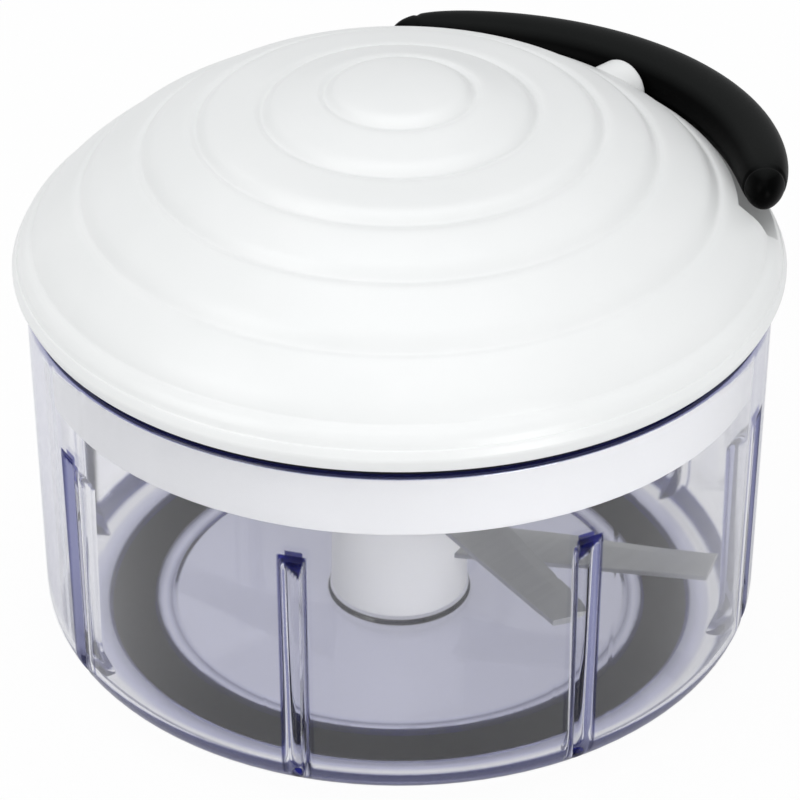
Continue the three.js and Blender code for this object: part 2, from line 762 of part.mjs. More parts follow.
// Recoil spring: a flat strip wound in a spiral from the arbor out to the housing's wall.
function makeRecoilSpring() {
  const first = arborRadius + fitGap + springStrip / 2;
  const last = springHousingRadius - springHousingWall - fitGap - springStrip / 2;
  const steps = Math.round(springTurns * springFacets);
  const inner = [];
  const outer = [];
  for (let i = 0; i <= steps; i += 1) {
    const angle = (2 * Math.PI * springTurns * i) / steps;
    const radius = first + ((last - first) * i) / steps;
    const way = new THREE.Vector2(Math.cos(angle), Math.sin(angle));
    inner.push(way.clone().multiplyScalar(radius - springStrip / 2));
    outer.push(way.clone().multiplyScalar(radius + springStrip / 2));
  }
  const gap = (last - first) / springTurns * Math.cos(Math.PI / springFacets) - springStrip;
  console.log("least gap between the turns of the recoil spring:", gap.toFixed(2), "mm");
  const shape = new THREE.Shape([...outer, ...inner.reverse()]);
  return plate(shape, springHousingBottom + fitGap, springHousingTop - springHousingRoof - fitGap);
}

// A round-cornered ear at each spring screw, from a bottom to a top.
function springEars(bottom, top) {
  return roundTheAxis(springScrewCount, firstSpringScrewAngle, (angle) => {
    const shape = new THREE.Shape();
    const quarter = Math.PI / 2;
    const near = springHousingRadius - springHousingWall;
    shape.moveTo(near, -springPostRadius);
    shape.absarc(springScrewCircle, 0, springPostRadius, -quarter, quarter, false);
    shape.lineTo(near, springPostRadius);
    const settings = { depth: top - bottom, bevelEnabled: false, curveSegments: smallFacets };
    return solidOf(new THREE.ExtrudeGeometry(shape, settings).translate(0, 0, bottom).rotateZ(angle));
  });
}

function springScrewBores(bottom, top) {
  return roundTheAxis(springScrewCount, firstSpringScrewAngle, (angle) => rodAt(
    springScrewCircle, angle, springScrewRadius + fitGap, bottom - overrun, top + overrun, smallFacets,
  ));
}

function makeSpringHousing() {
  const cup = turned([
    [springHousingRadius - springHousingWall, springHousingBottom],
    [springHousingRadius, springHousingBottom],
    [springHousingRadius, springHousingTop],
    [axleBoreRadius, springHousingTop],
    [axleBoreRadius, springHousingTop - springHousingRoof],
    [springHousingRadius - springHousingWall, springHousingTop - springHousingRoof],
  ], turnedFacets);
  const hollow = rod(
    springHousingRadius - springHousingWall, springHousingBottom - overrun,
    springHousingTop - springHousingRoof, turnedFacets,
  );
  const earTop = springHousingBottom + springEarThickness;
  const ears = joined(springEars(springHousingBottom, earTop)).subtract(hollow);
  return cup.add(ears).subtract(joined(springScrewBores(springHousingBottom, earTop)));
}

function makeSpringPlate() {
  const radius = springScrewCircle + springPlateMargin;
  const disc = tube(arborRadius + fitGap, radius, springPlateBottom, springPlateTop, turnedFacets);
  return disc.subtract(joined(springScrewBores(springPlateBottom, springPlateTop)));
}

const nozzleMouth = nozzleTip - nozzleLength;
const leaveAngle = -Math.acos(windingRadius / nozzleMouth);
const windingBottom = spoolBottom + fitGap + cordRadius;
const windingTop = windingBottom + windingTurns * windingPitch;

// Helix of the winding: it climbs to the point where the cord leaves the drum for the nozzle.
class WindingHelix extends THREE.Curve {
  getPoint(share, target = new THREE.Vector3()) {
    const angle = leaveAngle + 2 * Math.PI * windingTurns * (share - 1);
    return target.set(
      windingRadius * Math.cos(angle),
      windingRadius * Math.sin(angle),
      windingBottom + (windingTop - windingBottom) * share,
    );
  }
}

function circleShape(radius, facets) {
  const corners = [];
  for (let i = 0; i < facets; i += 1) {
    const angle = (2 * Math.PI * i) / facets;
    corners.push(new THREE.Vector2(radius * Math.cos(angle), radius * Math.sin(angle)));
  }
  return new THREE.Shape(corners);
}

function cordAlong(curve, steps) {
  const settings = { extrudePath: curve, steps, bevelEnabled: false };
  return solidOf(new THREE.ExtrudeGeometry(circleShape(cordRadius, cordFacets), settings));
}

// Least gap between turns of a winding, measured on points: those a quarter turn or more apart are compared.
function leastGap(curve, turns, diameter) {
  const pointsPerTurn = 24;
  const points = curve.getPoints(turns * pointsPerTurn);
  let least = Infinity;
  for (let i = 0; i < points.length; i += 1) {
    for (let j = i + pointsPerTurn / 4; j < points.length; j += 1) {
      least = Math.min(least, points[i].distanceTo(points[j]));
    }
  }
  return least - diameter;
}

function makeCordWinding() {
  const helix = new WindingHelix();
  const gap = leastGap(helix, windingTurns, cordDiameter);
  console.log("least gap between the turns of the cord winding:", gap.toFixed(2), "mm");
  return cordAlong(helix, windingTurns * windingFacets);
}

const knotCentre = handleInnerRadius + knotDepth + knotRadius;

// Cord lead: from the drum, in a straight line to the nozzle's mouth, and through the nozzle to the knot.
function makeCordLead() {
  const leave = new THREE.Vector3(Math.cos(leaveAngle), Math.sin(leaveAngle), 0).multiplyScalar(windingRadius);
  leave.z = windingTop;
  const mouth = new THREE.Vector3(nozzleMouth, 0, nozzleAxis);
  const end = new THREE.Vector3(knotCentre - knotRadius - fitGap, 0, nozzleAxis);
  const toMouth = mouth.clone().sub(leave).normalize();
  const start = leave.clone().addScaledVector(toMouth, fitGap + cordRadius);
  const beforeMouth = mouth.clone().addScaledVector(toMouth, -cordDiameter);
  const afterMouth = mouth.clone();
  afterMouth.x += cordDiameter;
  const path = new THREE.CurvePath();
  path.add(new THREE.LineCurve3(start, beforeMouth));
  path.add(new THREE.QuadraticBezierCurve3(beforeMouth, mouth, afterMouth));
  path.add(new THREE.LineCurve3(afterMouth, end));
  return cordAlong(path, windingFacets);
}

function makeCordEyelet() {
  const sleeve = bar(eyeletRadius, nozzleTip - fitGap - eyeletLength, nozzleTip - fitGap, nozzleAxis, shaftFacets);
  const hole = bar(
    cordBoreRadius, nozzleTip - fitGap - eyeletLength - overrun, nozzleTip + overrun, nozzleAxis, smallFacets,
  );
  return sleeve.subtract(hole);
}

// Radius of the grip's outer face at an angle from +X: an arc whose centre is shifted towards the grip.
function gripOuterRadius(angle) {
  const across = handleOffset * Math.sin(angle);
  return handleOffset * Math.cos(angle) + Math.sqrt(handleOuterArcRadius ** 2 - across ** 2);
}

// Crescent grip: a unit sphere whose poles are drawn out to the grip's two ends. Each ring of the sphere
// becomes an oval section between the inner and outer faces.
function makeGripBody() {
  const geometry = new THREE.SphereGeometry(1, handleFacetsAround, handleFacetsAlong);
  const place = geometry.attributes.position;
  const reach = THREE.MathUtils.degToRad(handleHalfAngle);
  for (let i = 0; i < place.count; i += 1) {
    const along = place.getY(i);
    const ringRadius = Math.sqrt(Math.max(0, 1 - along ** 2));
    const fullness = ringRadius > 0 ? Math.sqrt(1 - Math.abs(along) ** handleEndPower) / ringRadius : 0;
    const angle = along * reach;
    const outer = gripOuterRadius(angle);
    const radius = (outer + handleInnerRadius) / 2
      + place.getX(i) * fullness * (outer - handleInnerRadius) / 2;
    const height = handleAxis + place.getZ(i) * fullness * handleHalfHeight;
    place.setXYZ(i, radius * Math.cos(angle), radius * Math.sin(angle), height);
  }
  return solidOf(geometry);
}

function makeHandleGrip() {
  const far = handleInnerRadius + handleMiddleWidth + overrun;
  const cordHole = bar(cordBoreRadius, handleInnerRadius - overrun, far, nozzleAxis, smallFacets);
  const recess = bar(
    knotRadius + fitGap, knotCentre - knotRadius - fitGap, far, nozzleAxis, shaftFacets,
  );
  return makeGripBody().subtract(joined([cordHole, recess]));
}

function makeCordKnot() {
  const knot = new THREE.SphereGeometry(knotRadius, smallFacets, smallFacets / 2);
  return solidOf(knot.translate(knotCentre, 0, nozzleAxis));
}

function makeHandlePlug() {
  const face = handleInnerRadius + handleMiddleWidth - plugInset;
  return bar(knotRadius, face - plugThickness, face, nozzleAxis, shaftFacets);
}

const chopper = new THREE.Group();

const bowlGroup = new THREE.Group();
const strip = tube(stripInnerRadius, stripInnerRadius + stripWidth, 0, stripThickness, roundFacets);
bowlGroup.add(piece("bowl", makeBowl(), clearPlastic()));
bowlGroup.add(piece("non_slip_ring", strip, darkRubber()));
bowlGroup.add(piece("spindle_pin", makeSpindlePin(), pinSteel()));
chopper.add(bowlGroup);

const rotorGroup = new THREE.Group();
const lowerBushBottom = spindleBossTop + pinHeadroom;
const upperBushTop = hubBoreTop - fitGap;
const lowerBush = makeHubBush(lowerBushBottom, lowerBushBottom + lowerBushHeight);
const upperBush = makeHubBush(upperBushTop - upperBushHeight, upperBushTop);
rotorGroup.add(piece("blade_hub", makeBladeHub(), hubPlastic()));
rotorGroup.add(piece("hub_bush_lower", lowerBush, acetal()));
rotorGroup.add(piece("hub_bush_upper", upperBush, acetal()));
for (const blade of bladePlan) rotorGroup.add(makeBlade(blade));
chopper.add(rotorGroup);

const lidGroup = new THREE.Group();
lidGroup.add(piece("lid_base", makeLidBase(), whitePlastic()));
lidGroup.add(piece("lid_cover", makeLidCover(), whitePlastic()));
lidGroup.add(piece("rim_seal", makeRimSeal(), darkRubber()));
lidGroup.add(piece("coupler_bush", makeCouplerBush(), acetal()));
lidGroup.add(piece("thrust_washer", makeThrustWasher(), pinSteel()));
lidGroup.add(piece("drum_axle", makeDrumAxle(), pinSteel()));
lidGroup.add(piece("spring_housing", makeSpringHousing(), acetal()));
lidGroup.add(piece("spring_plate", makeSpringPlate(), acetal()));
lidGroup.add(piece("recoil_spring", makeRecoilSpring(), pinSteel()));
lidGroup.add(piece("cord_eyelet", makeCordEyelet(), acetal()));

const lidScrews = roundTheAxis(lidScrewCount, firstLidScrewAngle, (angle) => (
  makeScrew(lidScrewCircle, angle, lidPlateBottom, lidScrew)
));
lidScrews.forEach((screw, i) => lidGroup.add(piece(`lid_screw_${i + 1}`, screw, pinSteel())));
const springScrews = roundTheAxis(springScrewCount, firstSpringScrewAngle, (angle) => (
  makeScrew(springScrewCircle, angle, springPlateBottom, springScrew)
));
springScrews.forEach((screw, i) => lidGroup.add(piece(`spring_screw_${i + 1}`, screw, pinSteel())));

const couplerGroup = new THREE.Group();
couplerGroup.add(piece("drive_coupler", makeDriveCoupler(), acetal()));
couplerGroup.add(piece("ratchet_wheel", makeRatchetWheel(), pinSteel()));
lidGroup.add(couplerGroup);

const drumGroup = new THREE.Group();
drumGroup.add(piece("cord_drum", makeCordDrum(), acetal()));
drumGroup.add(piece("cord_winding", makeCordWinding(), cordFibre()));
for (const [name, turn] of [["pawl_a", 0], ["pawl_b", Math.PI]]) {
  const pawl = piece(name, makePawl(), pinSteel());
  pawl.rotation.z = turn;
  drumGroup.add(pawl);
}
lidGroup.add(drumGroup);

const handleGroup = new THREE.Group();
handleGroup.add(piece("handle_grip", makeHandleGrip(), blackPlastic()));
handleGroup.add(piece("handle_plug", makeHandlePlug(), blackPlastic()));
handleGroup.add(piece("cord_knot", makeCordKnot(), cordFibre()));
handleGroup.add(piece("cord_lead", makeCordLead(), cordFibre()));
lidGroup.add(handleGroup);
chopper.add(lidGroup);

export default chopper;
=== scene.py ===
# %% [markdown]
# # A pull-cord food chopper
# This lesson dresses the CAD model of a kitchen chopper: a clear bowl with a blade rotor inside, and a white
# rippled lid whose black grip pulls a cord. The CAD nodes give every size and place. The pieces made here are
# the same forms with finer surfaces, and each one replaces its node and rides on the same body.

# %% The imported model
import json
import math

import bmesh
import bpy
import numpy as np
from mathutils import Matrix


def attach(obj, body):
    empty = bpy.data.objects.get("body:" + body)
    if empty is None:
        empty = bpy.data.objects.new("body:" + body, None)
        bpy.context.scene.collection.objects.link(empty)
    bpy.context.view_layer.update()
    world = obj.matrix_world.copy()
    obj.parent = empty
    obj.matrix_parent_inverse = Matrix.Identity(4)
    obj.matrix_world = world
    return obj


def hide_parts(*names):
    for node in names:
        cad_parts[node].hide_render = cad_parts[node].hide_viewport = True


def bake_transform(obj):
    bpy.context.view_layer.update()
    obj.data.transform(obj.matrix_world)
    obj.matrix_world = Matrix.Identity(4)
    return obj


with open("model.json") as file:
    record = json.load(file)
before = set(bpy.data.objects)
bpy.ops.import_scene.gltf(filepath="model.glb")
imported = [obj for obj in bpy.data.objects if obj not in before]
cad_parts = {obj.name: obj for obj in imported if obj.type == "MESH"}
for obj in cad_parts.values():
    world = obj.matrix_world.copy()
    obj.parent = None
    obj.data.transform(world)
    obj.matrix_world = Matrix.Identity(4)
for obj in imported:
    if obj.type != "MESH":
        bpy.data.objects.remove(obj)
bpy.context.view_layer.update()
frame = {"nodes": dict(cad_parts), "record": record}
nodes = frame["nodes"]
mm = 0.001

# %% [markdown]
# ## Camera
# The camera stands where the photographer stood. Circles of the lid and bowl were fitted to their ellipses in the
# photograph: it looks down by 32.2 degrees from 0.7 m away, with a long lens. The handle points away to the
# right, so in the model's own directions the camera stands at a turn of 45.5 degrees.

# %% Camera
camera_tilt = 0.5623
camera_turn = math.radians(-45.5)
camera_reach = 0.7
camera_target = np.array([0, 0, 0.0399])
camera_lens = 182.98
camera_shift = 0.0007
sensor_width = 36
nearest_seen = 0.05


def add_object(name, data):
    """A new object in the scene that shows its data: a camera, a mesh or a lamp."""
    made = bpy.data.objects.new(name, data)
    bpy.context.scene.collection.objects.link(made)
    return made


camera_way = np.array([
    math.sin(camera_turn) * math.cos(camera_tilt),
    -math.cos(camera_turn) * math.cos(camera_tilt),
    math.sin(camera_tilt),
])
camera_data = bpy.data.cameras.new("camera")
camera_data.lens = camera_lens
camera_data.sensor_width = sensor_width
camera_data.shift_x = camera_shift
camera_data.clip_start = nearest_seen
camera = add_object("camera", camera_data)
camera.location = camera_target + camera_reach * camera_way
camera.rotation_euler = (math.pi / 2 - camera_tilt, 0, camera_turn)
bpy.context.scene.camera = camera
bpy.context.scene.view_settings.view_transform = "Standard"
print("camera at", [round(v, 3) for v in camera.location])

# %% [markdown]
# ## Shader sums
# A finish is easier to read when its maths is written as a sum. The class below wraps one output of a node, and
# adding, subtracting or multiplying makes the Math nodes. A Finish holds the nodes of one material, or of the
# world, and its method node makes every other kind of node.


# %% Sums of shader values
class Shade:
    """One output socket. Sums and products of shades, with each other or with numbers, add Math nodes."""

    def __init__(self, finish, socket):
        self.finish = finish
        self.socket = socket

    def sum(self, operation, first, second):
        return self.finish.node("Math", {"operation": operation}, {0: first, 1: second})

    def __add__(self, other):
        return self.sum("ADD", self, other)

    def __sub__(self, other):
        return self.sum("SUBTRACT", self, other)

    def __mul__(self, other):
        return self.sum("MULTIPLY", self, other)

    def larger(self, other):
        return self.sum("MAXIMUM", self, other)

    __radd__ = __add__
    __rmul__ = __mul__


class Finish:
    """A new material, or a new world, and its nodes. A material's Principled node is the base."""

    def __init__(self, name, library=bpy.data.materials):
        self.holder = library.new(name)
        self.holder.use_nodes = True
        self.tree = self.holder.node_tree
        self.base = self.tree.nodes.get("Principled BSDF")
        self.output = self.tree.nodes.get("Material Output") or self.tree.nodes["World Output"]

    def feed(self, socket, value):
        if isinstance(value, Shade):
            self.tree.links.new(value.socket, socket)
        else:
            socket.default_value = value

    def node(self, kind, settings=None, inputs=None, output=0):
        """Makes a node: its settings first, then its inputs, and gives one of its outputs, by number or name."""
        made = self.tree.nodes.new("ShaderNode" + kind)
        for name, value in (settings or {}).items():
            setattr(made, name, value)
        for name, value in (inputs or {}).items():
            self.feed(made.inputs[name], value)
        return Shade(self, made.outputs[output])

    def place(self, turn=0.0, stretch=(1, 1, 1)):
        """Object coordinates, turned about Z by an angle in degrees and stretched along each axis."""
        coordinates = self.node("TexCoord", output=3)
        return self.node("Mapping", None, {
            "Vector": coordinates,
            "Rotation": (0, 0, math.radians(-turn)),
            "Scale": stretch,
        })

    def noise(self, place, size, detail=2.0):
        """Soft cloudy noise from 0 to 1, whose clouds are about as wide as size, in millimetres."""
        return self.node("TexNoise", None, {"Vector": place, "Scale": 1 / (size * mm), "Detail": detail})

    def part(self, vector, axis):
        """One coordinate of a vector."""
        return self.node("SeparateXYZ", None, {0: vector}, axis)

    def colours(self, mask, first, second):
        """One colour where the mask is 0 and another where it is 1."""
        ends = [end if isinstance(end, Shade) else (*end, 1) for end in (first, second)]
        return self.node("Mix", {"data_type": "RGBA"}, {0: mask, 6: ends[0], 7: ends[1]}, output=2)

    def blend(self, share, first, second):
        """One shader where the share is 0 and another where it is 1."""
        return self.node("MixShader", None, {0: share, 1: first, 2: second})

    def dress(self, **inputs):
        """Feeds the Principled node: names are its sockets, with _ for a space."""
        for name, value in inputs.items():
            self.feed(self.base.inputs[name.replace("_", " ")], value)
        return self

    def relief(self, height, depth):
        """Lets a height from 0 to 1 press the surface in and out, by a depth in millimetres."""
        settings = {"Height": height, "Distance": depth * mm, "Strength": 1.0}
        self.feed(self.base.inputs["Normal"], self.node("Bump", None, settings))
        return self


print("shader sums ready")

# %% [markdown]
# ## Finishes
# The lid is white moulded plastic with a soft gloss. It isn't quite one white: large clouds of tone, and a grain
# that can only be felt, keep it from looking like a drawing. The hub, the drive parts and the dull rubber are made
# by the same function from other numbers. The grip is black with painted light and shade: grey on top, where the
# light falls, and deep black at its side, where shade falls. That line lies where the grip turns over, so the
# colour follows the height and needs no picture.


# %% Moulded plastics
def moulded(name, dark, light, gloss, grain=0.35, depth=0.004, shine=0.5):
    """Moulded plastic: its colour drifts between two tones, and a fine grain roughens it."""
    finish = Finish(name)
    place = finish.place()
    clouds = finish.noise(place, size=22, detail=3)
    fine = finish.noise(place, grain)
    finish.dress(
        Base_Color=finish.colours(clouds, dark, light),
        Roughness=gloss + 0.08 * clouds + 0.05 * fine,
        Specular_IOR_Level=shine,
    )
    return finish.relief(fine, depth).holder


lid_white = moulded("lid_white", (0.80, 0.81, 0.805), (0.86, 0.865, 0.86), 0.27)
# hub_white and base_white are lighter copies of the lid's white: painted light, for the front light that brightens
# hub and skirt.
hub_white = moulded("hub_white", (0.84, 0.845, 0.835), (0.89, 0.89, 0.88), 0.36)
base_white = moulded("base_white", (0.89, 0.895, 0.885), (0.93, 0.93, 0.92), 0.3)
acetal = moulded("acetal", (0.62, 0.61, 0.56), (0.71, 0.70, 0.66), 0.42)
rubber = moulded("rubber", (0.006, 0.006, 0.008), (0.012, 0.012, 0.015), 0.62, 0.25, 0.02, 0.1)


def black_painted_light(name, middle, reach, roll):
    """Black plastic with painted light and shade: grey on top, where the light falls, and deep black below. Its
    colour changes at a middle height over a reach, both in millimetres. roll is how much higher the middle gets
    for each millimetre across."""
    finish = Finish(name)
    place = finish.place()
    fine = finish.noise(place, size=0.5)
    smudge = 0.2 * finish.noise(place, size=14, detail=3) - 0.1
    height = finish.part(place, "Z") + finish.part(place, "Y") * roll
    # Painted light and shade: the grip's top is painted grey and its side deep black.
    painted_top_light = (height - middle * mm) * (1 / (reach * mm)) + smudge
    finish.dress(
        Base_Color=finish.colours(painted_top_light, (0.0003, 0.0004, 0.0004), (0.0095, 0.0102, 0.01)),
        Roughness=0.34 + 0.08 * fine,
        Specular_IOR_Level=0.03,
    )
    return finish.relief(fine, 0.012).holder


handle_black = black_painted_light("handle_black", middle=82.5, reach=1.2, roll=0.024)
print("plastics:", lid_white.name, hub_white.name, acetal.name, handle_black.name, rubber.name)

# %% [markdown]
# The bowl is clear plastic with a violet-blue tint that hardly shows through a flat wall, but turns edges and
# corners deep blue, because light goes a long way through the plastic there. A little of that is absorption in
# the volume, and most is a mask on the surface, in three steps: pale, blue and nearly black. A second mask calms
# the mirror images in the deepest corners and over the dark ring, where they would wash it out. A ray that is
# trapped in a wall takes more bounces than a render follows and would end black, so after the third it is let
# out through a blue filter. Lamps would not reach through such glass, so their rays meet a plain filter instead.


# %% Clear plastic
def clear_plastic(name):
    """Refracting plastic. Two attributes of the mesh shape it: deep says where light goes a long way through
    it, and calm where a plain blue filter takes over from its mirror images."""
    finish = Finish(name)
    place = finish.place()
    waves = finish.noise(place, size=30, detail=1)
    smears = finish.noise(place, size=6, detail=3)
    deep = finish.node("Attribute", {"attribute_name": "deep"}, output="Fac")
    pale = finish.colours(deep * 3.3 + 0.03 * smears, (1.0, 1.0, 1.0), (0.62, 0.63, 0.80))
    blue = finish.colours(deep * 2.2 - 0.66, pale, (0.016, 0.018, 0.10))
    finish.dress(
        Base_Color=finish.colours(deep * 4 - 3, blue, (0.001, 0.0012, 0.010)),
        Roughness=0.015 + 0.03 * smears,
        IOR=1.53,
        Transmission_Weight=1.0,
    )
    finish.relief(waves, 0.03)

    def see_through(red, green, blue):
        return finish.node("BsdfTransparent", None, {"Color": (red, green, blue, 1)})

    calm = finish.node("Attribute", {"attribute_name": "calm"}, output="Fac")
    calmed = finish.blend(calm * 0.7, Shade(finish, finish.base.outputs[0]), see_through(0.035, 0.04, 0.36))
    trapped = (finish.node("LightPath", output="Glossy Depth").larger(2.5) - 2.5) * 4
    inside = finish.blend(trapped, calmed, see_through(0.32, 0.33, 0.50))
    lamp_ray = finish.node("LightPath", output="Is Shadow Ray")
    surface = finish.blend(lamp_ray, inside, see_through(0.98, 0.98, 0.99))
    finish.feed(finish.output.inputs["Surface"], surface)
    tint = finish.node("VolumeAbsorption", None, {"Color": (0.4, 0.41, 0.85, 1), "Density": 12.0})
    finish.feed(finish.output.inputs["Volume"], tint)
    return finish.holder


bowl_clear = clear_plastic("bowl_clear")
print("clear plastic:", bowl_clear.name)

# %% [markdown]
# The blades are satin steel with the marks of grinding along their length. Stretched noise gives such marks:
# long along the blade and very narrow across it. Each blade points another way, so the pattern is turned
# with it. The pin, spring and screws are brighter turned steel, with marks round the axis or none.


# %% Steels
def ground_steel(name, turn, dark, light, gloss, stretch=(12, 900, 900)):
    """Metal with narrow marks along one direction: noise a metre wide, pressed together along each axis."""
    finish = Finish(name)
    marks = finish.noise(finish.place(turn, stretch), size=1000, detail=3)
    clouds = finish.noise(finish.place(), size=9)
    finish.dress(
        Base_Color=finish.colours(marks * 0.6 + clouds * 0.4, dark, light),
        Roughness=gloss + 0.14 * marks + 0.06 * clouds,
        Metallic=1.0,
    )
    return finish.relief(marks, 0.006).holder


pin_steel = ground_steel("pin_steel", 0, (0.50, 0.51, 0.52), (0.66, 0.67, 0.68), 0.18, (60, 60, 1500))
print("steel:", pin_steel.name)

# %% [markdown]
# The cord is braided from pale synthetic thread. A braid is two sets of strands that wind round the cord in
# opposite ways, so its height is the larger of two waves that run across each other. The waves follow the
# cord's own UV map, where u is the length along it and v the turn round it.


# %% Braided cord
def braided(name, strand=1.1, strands=4):
    """Braid height: the larger of two squared sine waves, of the length plus and minus the turn round."""
    finish = Finish(name)
    way = finish.node("UVMap", {"uv_map": "cord_way"})
    along = finish.part(way, "X") * (2 * math.pi / strand)
    turn = finish.part(way, "Y") * (2 * math.pi * strands)
    right = finish.node("Math", {"operation": "SINE"}, {0: along + turn})
    left = finish.node("Math", {"operation": "SINE"}, {0: along - turn})
    height = (right * right).larger(left * left)
    fuzz = finish.noise(finish.place(), size=0.2, detail=3)
    finish.dress(
        # Painted shade: the colour is darker where the braid is low, between its strands.
        Base_Color=finish.colours(height * 0.7 + fuzz * 0.3, (0.48, 0.46, 0.41), (0.80, 0.79, 0.75)),
        Roughness=0.75 + 0.15 * fuzz,
        Sheen_Weight=0.2,
    )
    return finish.relief(height * 0.8 + fuzz * 0.2, 0.12).holder


cord_braid = braided("cord_braid")
print("cord:", cord_braid.name)

# %% [markdown]
# ## Surfaces from arrays
# Every new piece is a grid of points, worked out with numpy as one array of rows and columns. The columns run
# round the piece and close on themselves. Rows that end on the axis fall together into one point, so doubles
# are merged, and the faces are then turned outwards.


# %% Grids and meshes
def grid_faces(rows, columns):
    """Four-sided faces between neighbours in a grid: rows stay open, and columns close on themselves."""
    row, column = np.meshgrid(np.arange(rows - 1), np.arange(columns), indexing="ij")
    beside = (column + 1) % columns
    corners = [row * columns + column, row * columns + beside,
               (row + 1) * columns + beside, (row + 1) * columns + column]
    return np.stack(corners, axis=-1).reshape(-1, 4)


def make_piece(name, grid, material, body, slot, node, crease=38, closed_rows=False, capped=False):
    """A dressed mesh from a grid of points in millimetres, which rides on its body and stands for its node."""
    rows, columns = grid.shape[:2]
    faces = grid_faces(rows, columns).tolist()
    if closed_rows:
        last = (rows - 1) * columns
        faces += [[last + i, last + (i + 1) % columns, (i + 1) % columns, i] for i in range(columns)]
    if capped:
        faces += [list(range(columns)), list(range((rows - 1) * columns, rows * columns))]
    mesh = make_mesh(name, grid, faces, crease)
    mesh.materials.append(material)
    piece = add_object(name, mesh)
    if body:
        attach(piece, body)
    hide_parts(node)
    return piece


def make_mesh(name, grid, faces, crease):
    """A mesh from points in millimetres: doubled points are merged, the faces turned outwards, and the shading
    is smooth except over edges sharper than an angle."""
    mesh = bpy.data.meshes.new(name)
    mesh.from_pydata((grid.reshape(-1, 3) * mm).tolist(), [], faces)
    work = bmesh.new()
    work.from_mesh(mesh)
    bmesh.ops.remove_doubles(work, verts=work.verts, dist=1e-7)
    bmesh.ops.recalc_face_normals(work, faces=work.faces)
    work.to_mesh(mesh)
    work.free()
    mesh.polygons.foreach_set("use_smooth", np.ones(len(mesh.polygons), bool))
    mesh.set_sharp_from_angle(angle=math.radians(crease))
    return mesh


def around(columns):
    """Angles of evenly spaced columns, in radians."""
    return np.arange(columns) * (2 * math.pi / columns)


def rows_round(line, angles):
    """The radius and the height of an outline's points, repeated for every angle."""
    line = np.asarray(line, float)
    return line[:, :1] + 0 * angles, line[:, 1:] + 0 * angles


def spun(radius, height, angles):
    """Points about the Z axis, one for each row and column: x and y are the radius times cosine and sine."""
    return np.stack([radius * np.cos(angles), radius * np.sin(angles), height], axis=-1)


def turned(line, columns):
    """Turns an outline of [radius, height] about the Z axis."""
    return spun(*rows_round(line, around(columns)), around(columns))


def turned_piece(name, line, columns, *dressing):
    """A piece turned from a closed outline, such as a ring."""
    return make_piece(name, turned(line, columns), *dressing, closed_rows=True)


def soft_corners(points, reach, steps=4, closed=False):
    """Rounds each corner of a line: a curve from a point before it to a point behind it, each at reach from
    it or at half the side. The curve is (1-t)^2 a + 2t(1-t) corner + t^2 b."""
    corners = np.asarray(points, float)
    before, behind = np.roll(corners, 1, axis=0) - corners, np.roll(corners, -1, axis=0) - corners
    t = np.linspace(0, 1, steps)[None, :, None]
    far = [np.linalg.norm(side, axis=1, keepdims=True) + 1e-12 for side in (before, behind)]
    a = corners + before * np.minimum(reach / far[0], 0.5)
    b = corners + behind * np.minimum(reach / far[1], 0.5)
    curve = (1 - t) ** 2 * a[:, None] + 2 * t * (1 - t) * corners[:, None] + t ** 2 * b[:, None]
    if closed:
        return curve.reshape(-1, 2)
    return np.concatenate([corners[:1], curve[1:-1].reshape(-1, 2), corners[-1:]])


def soft_least(first, second, width):
    """The smaller of two values, with the corner between them rounded over a width."""
    share = np.clip(0.5 + 0.5 * (second - first) / width, 0, 1)
    return second + (first - second) * share - width * share * (1 - share)


def soft_most(first, second, width):
    """The larger of two values, with the corner rounded in the same way."""
    return -soft_least(-first, -second, width)


def smooth_step(share):
    """0 below 0, 1 above 1, and a smooth rise of 3s^2 - 2s^3 between."""
    share = np.clip(share, 0, 1)
    return share * share * (3 - 2 * share)


print("grid of 3 by 4:", grid_faces(3, 4).shape[0], "faces")

# %% [markdown]
# ## The bowl
# The bowl is moulded with eight flutes: a V-shaped groove outside, and behind it a rib inside that throws the
# food back to the blades. Booleans could cut them, but leave faces that shade badly, so the surface itself is
# worked out: an outline is turned, and each point's radius is cut down to the groove's flat sides. A groove ends
# in a slanting ceiling.

# %% Bowl sizes
base_lift = 0.3
floor_top = 2.1
bowl_rim_radius = 63.0
bowl_foot_radius = 61.9
bowl_height = 65.2
bowl_wall = 2.2
bowl_corner = 7.5
flute_count = 8
first_flute = math.radians(-61.4)
flute_steepness = 4.4 / 2 / 3.9
groove_apex = 59.1
groove_top = 48.2
rib_apex = 56.9
rib_top = 50.4
ceiling_slope = 6.2 / 3.9
rib_foot_reach = 2.7
rib_foot_top = 8.1
bowl_edge = 0.5
rim_round = 0.8
wall_step, fine_step = 2.0, 0.3
flute_end_low, flute_end_high = 39.5, 52.5
flute_reach = 5.1
ring_inner, ring_outer = 43.2, 50.8
channel_inner, channel_outer, channel_top = 42.9, 51.1, 1.1
under_height = 0.7
boss_radius, boss_top = 5.0, 11.1
pin_bore, pin_floor = 2.8, 1.5
print("groove apex", groove_apex, "rib apex", rib_apex)


# %% Bowl surface
def quarter(centre_radius, centre_height, radius, first, last, steps=10):
    """Points of an arc from one angle to another, in degrees."""
    turn = np.radians(np.linspace(first, last, steps))
    return np.stack([centre_radius + radius * np.cos(turn), centre_height + radius * np.sin(turn)], axis=1)


def wall_line(foot_radius, foot_height, rim_radius):
    """Points up a wall: 2 mm apart, but 0.3 mm apart where the flutes end."""
    height = np.concatenate([
        np.arange(foot_height, flute_end_low, wall_step),
        np.arange(flute_end_low, flute_end_high, fine_step),
        np.arange(flute_end_high, bowl_height - 1.5, wall_step),
    ])
    radius = foot_radius + (rim_radius - foot_radius) * (height - foot_height) / (bowl_height - foot_height)
    return np.stack([radius, height], axis=1)


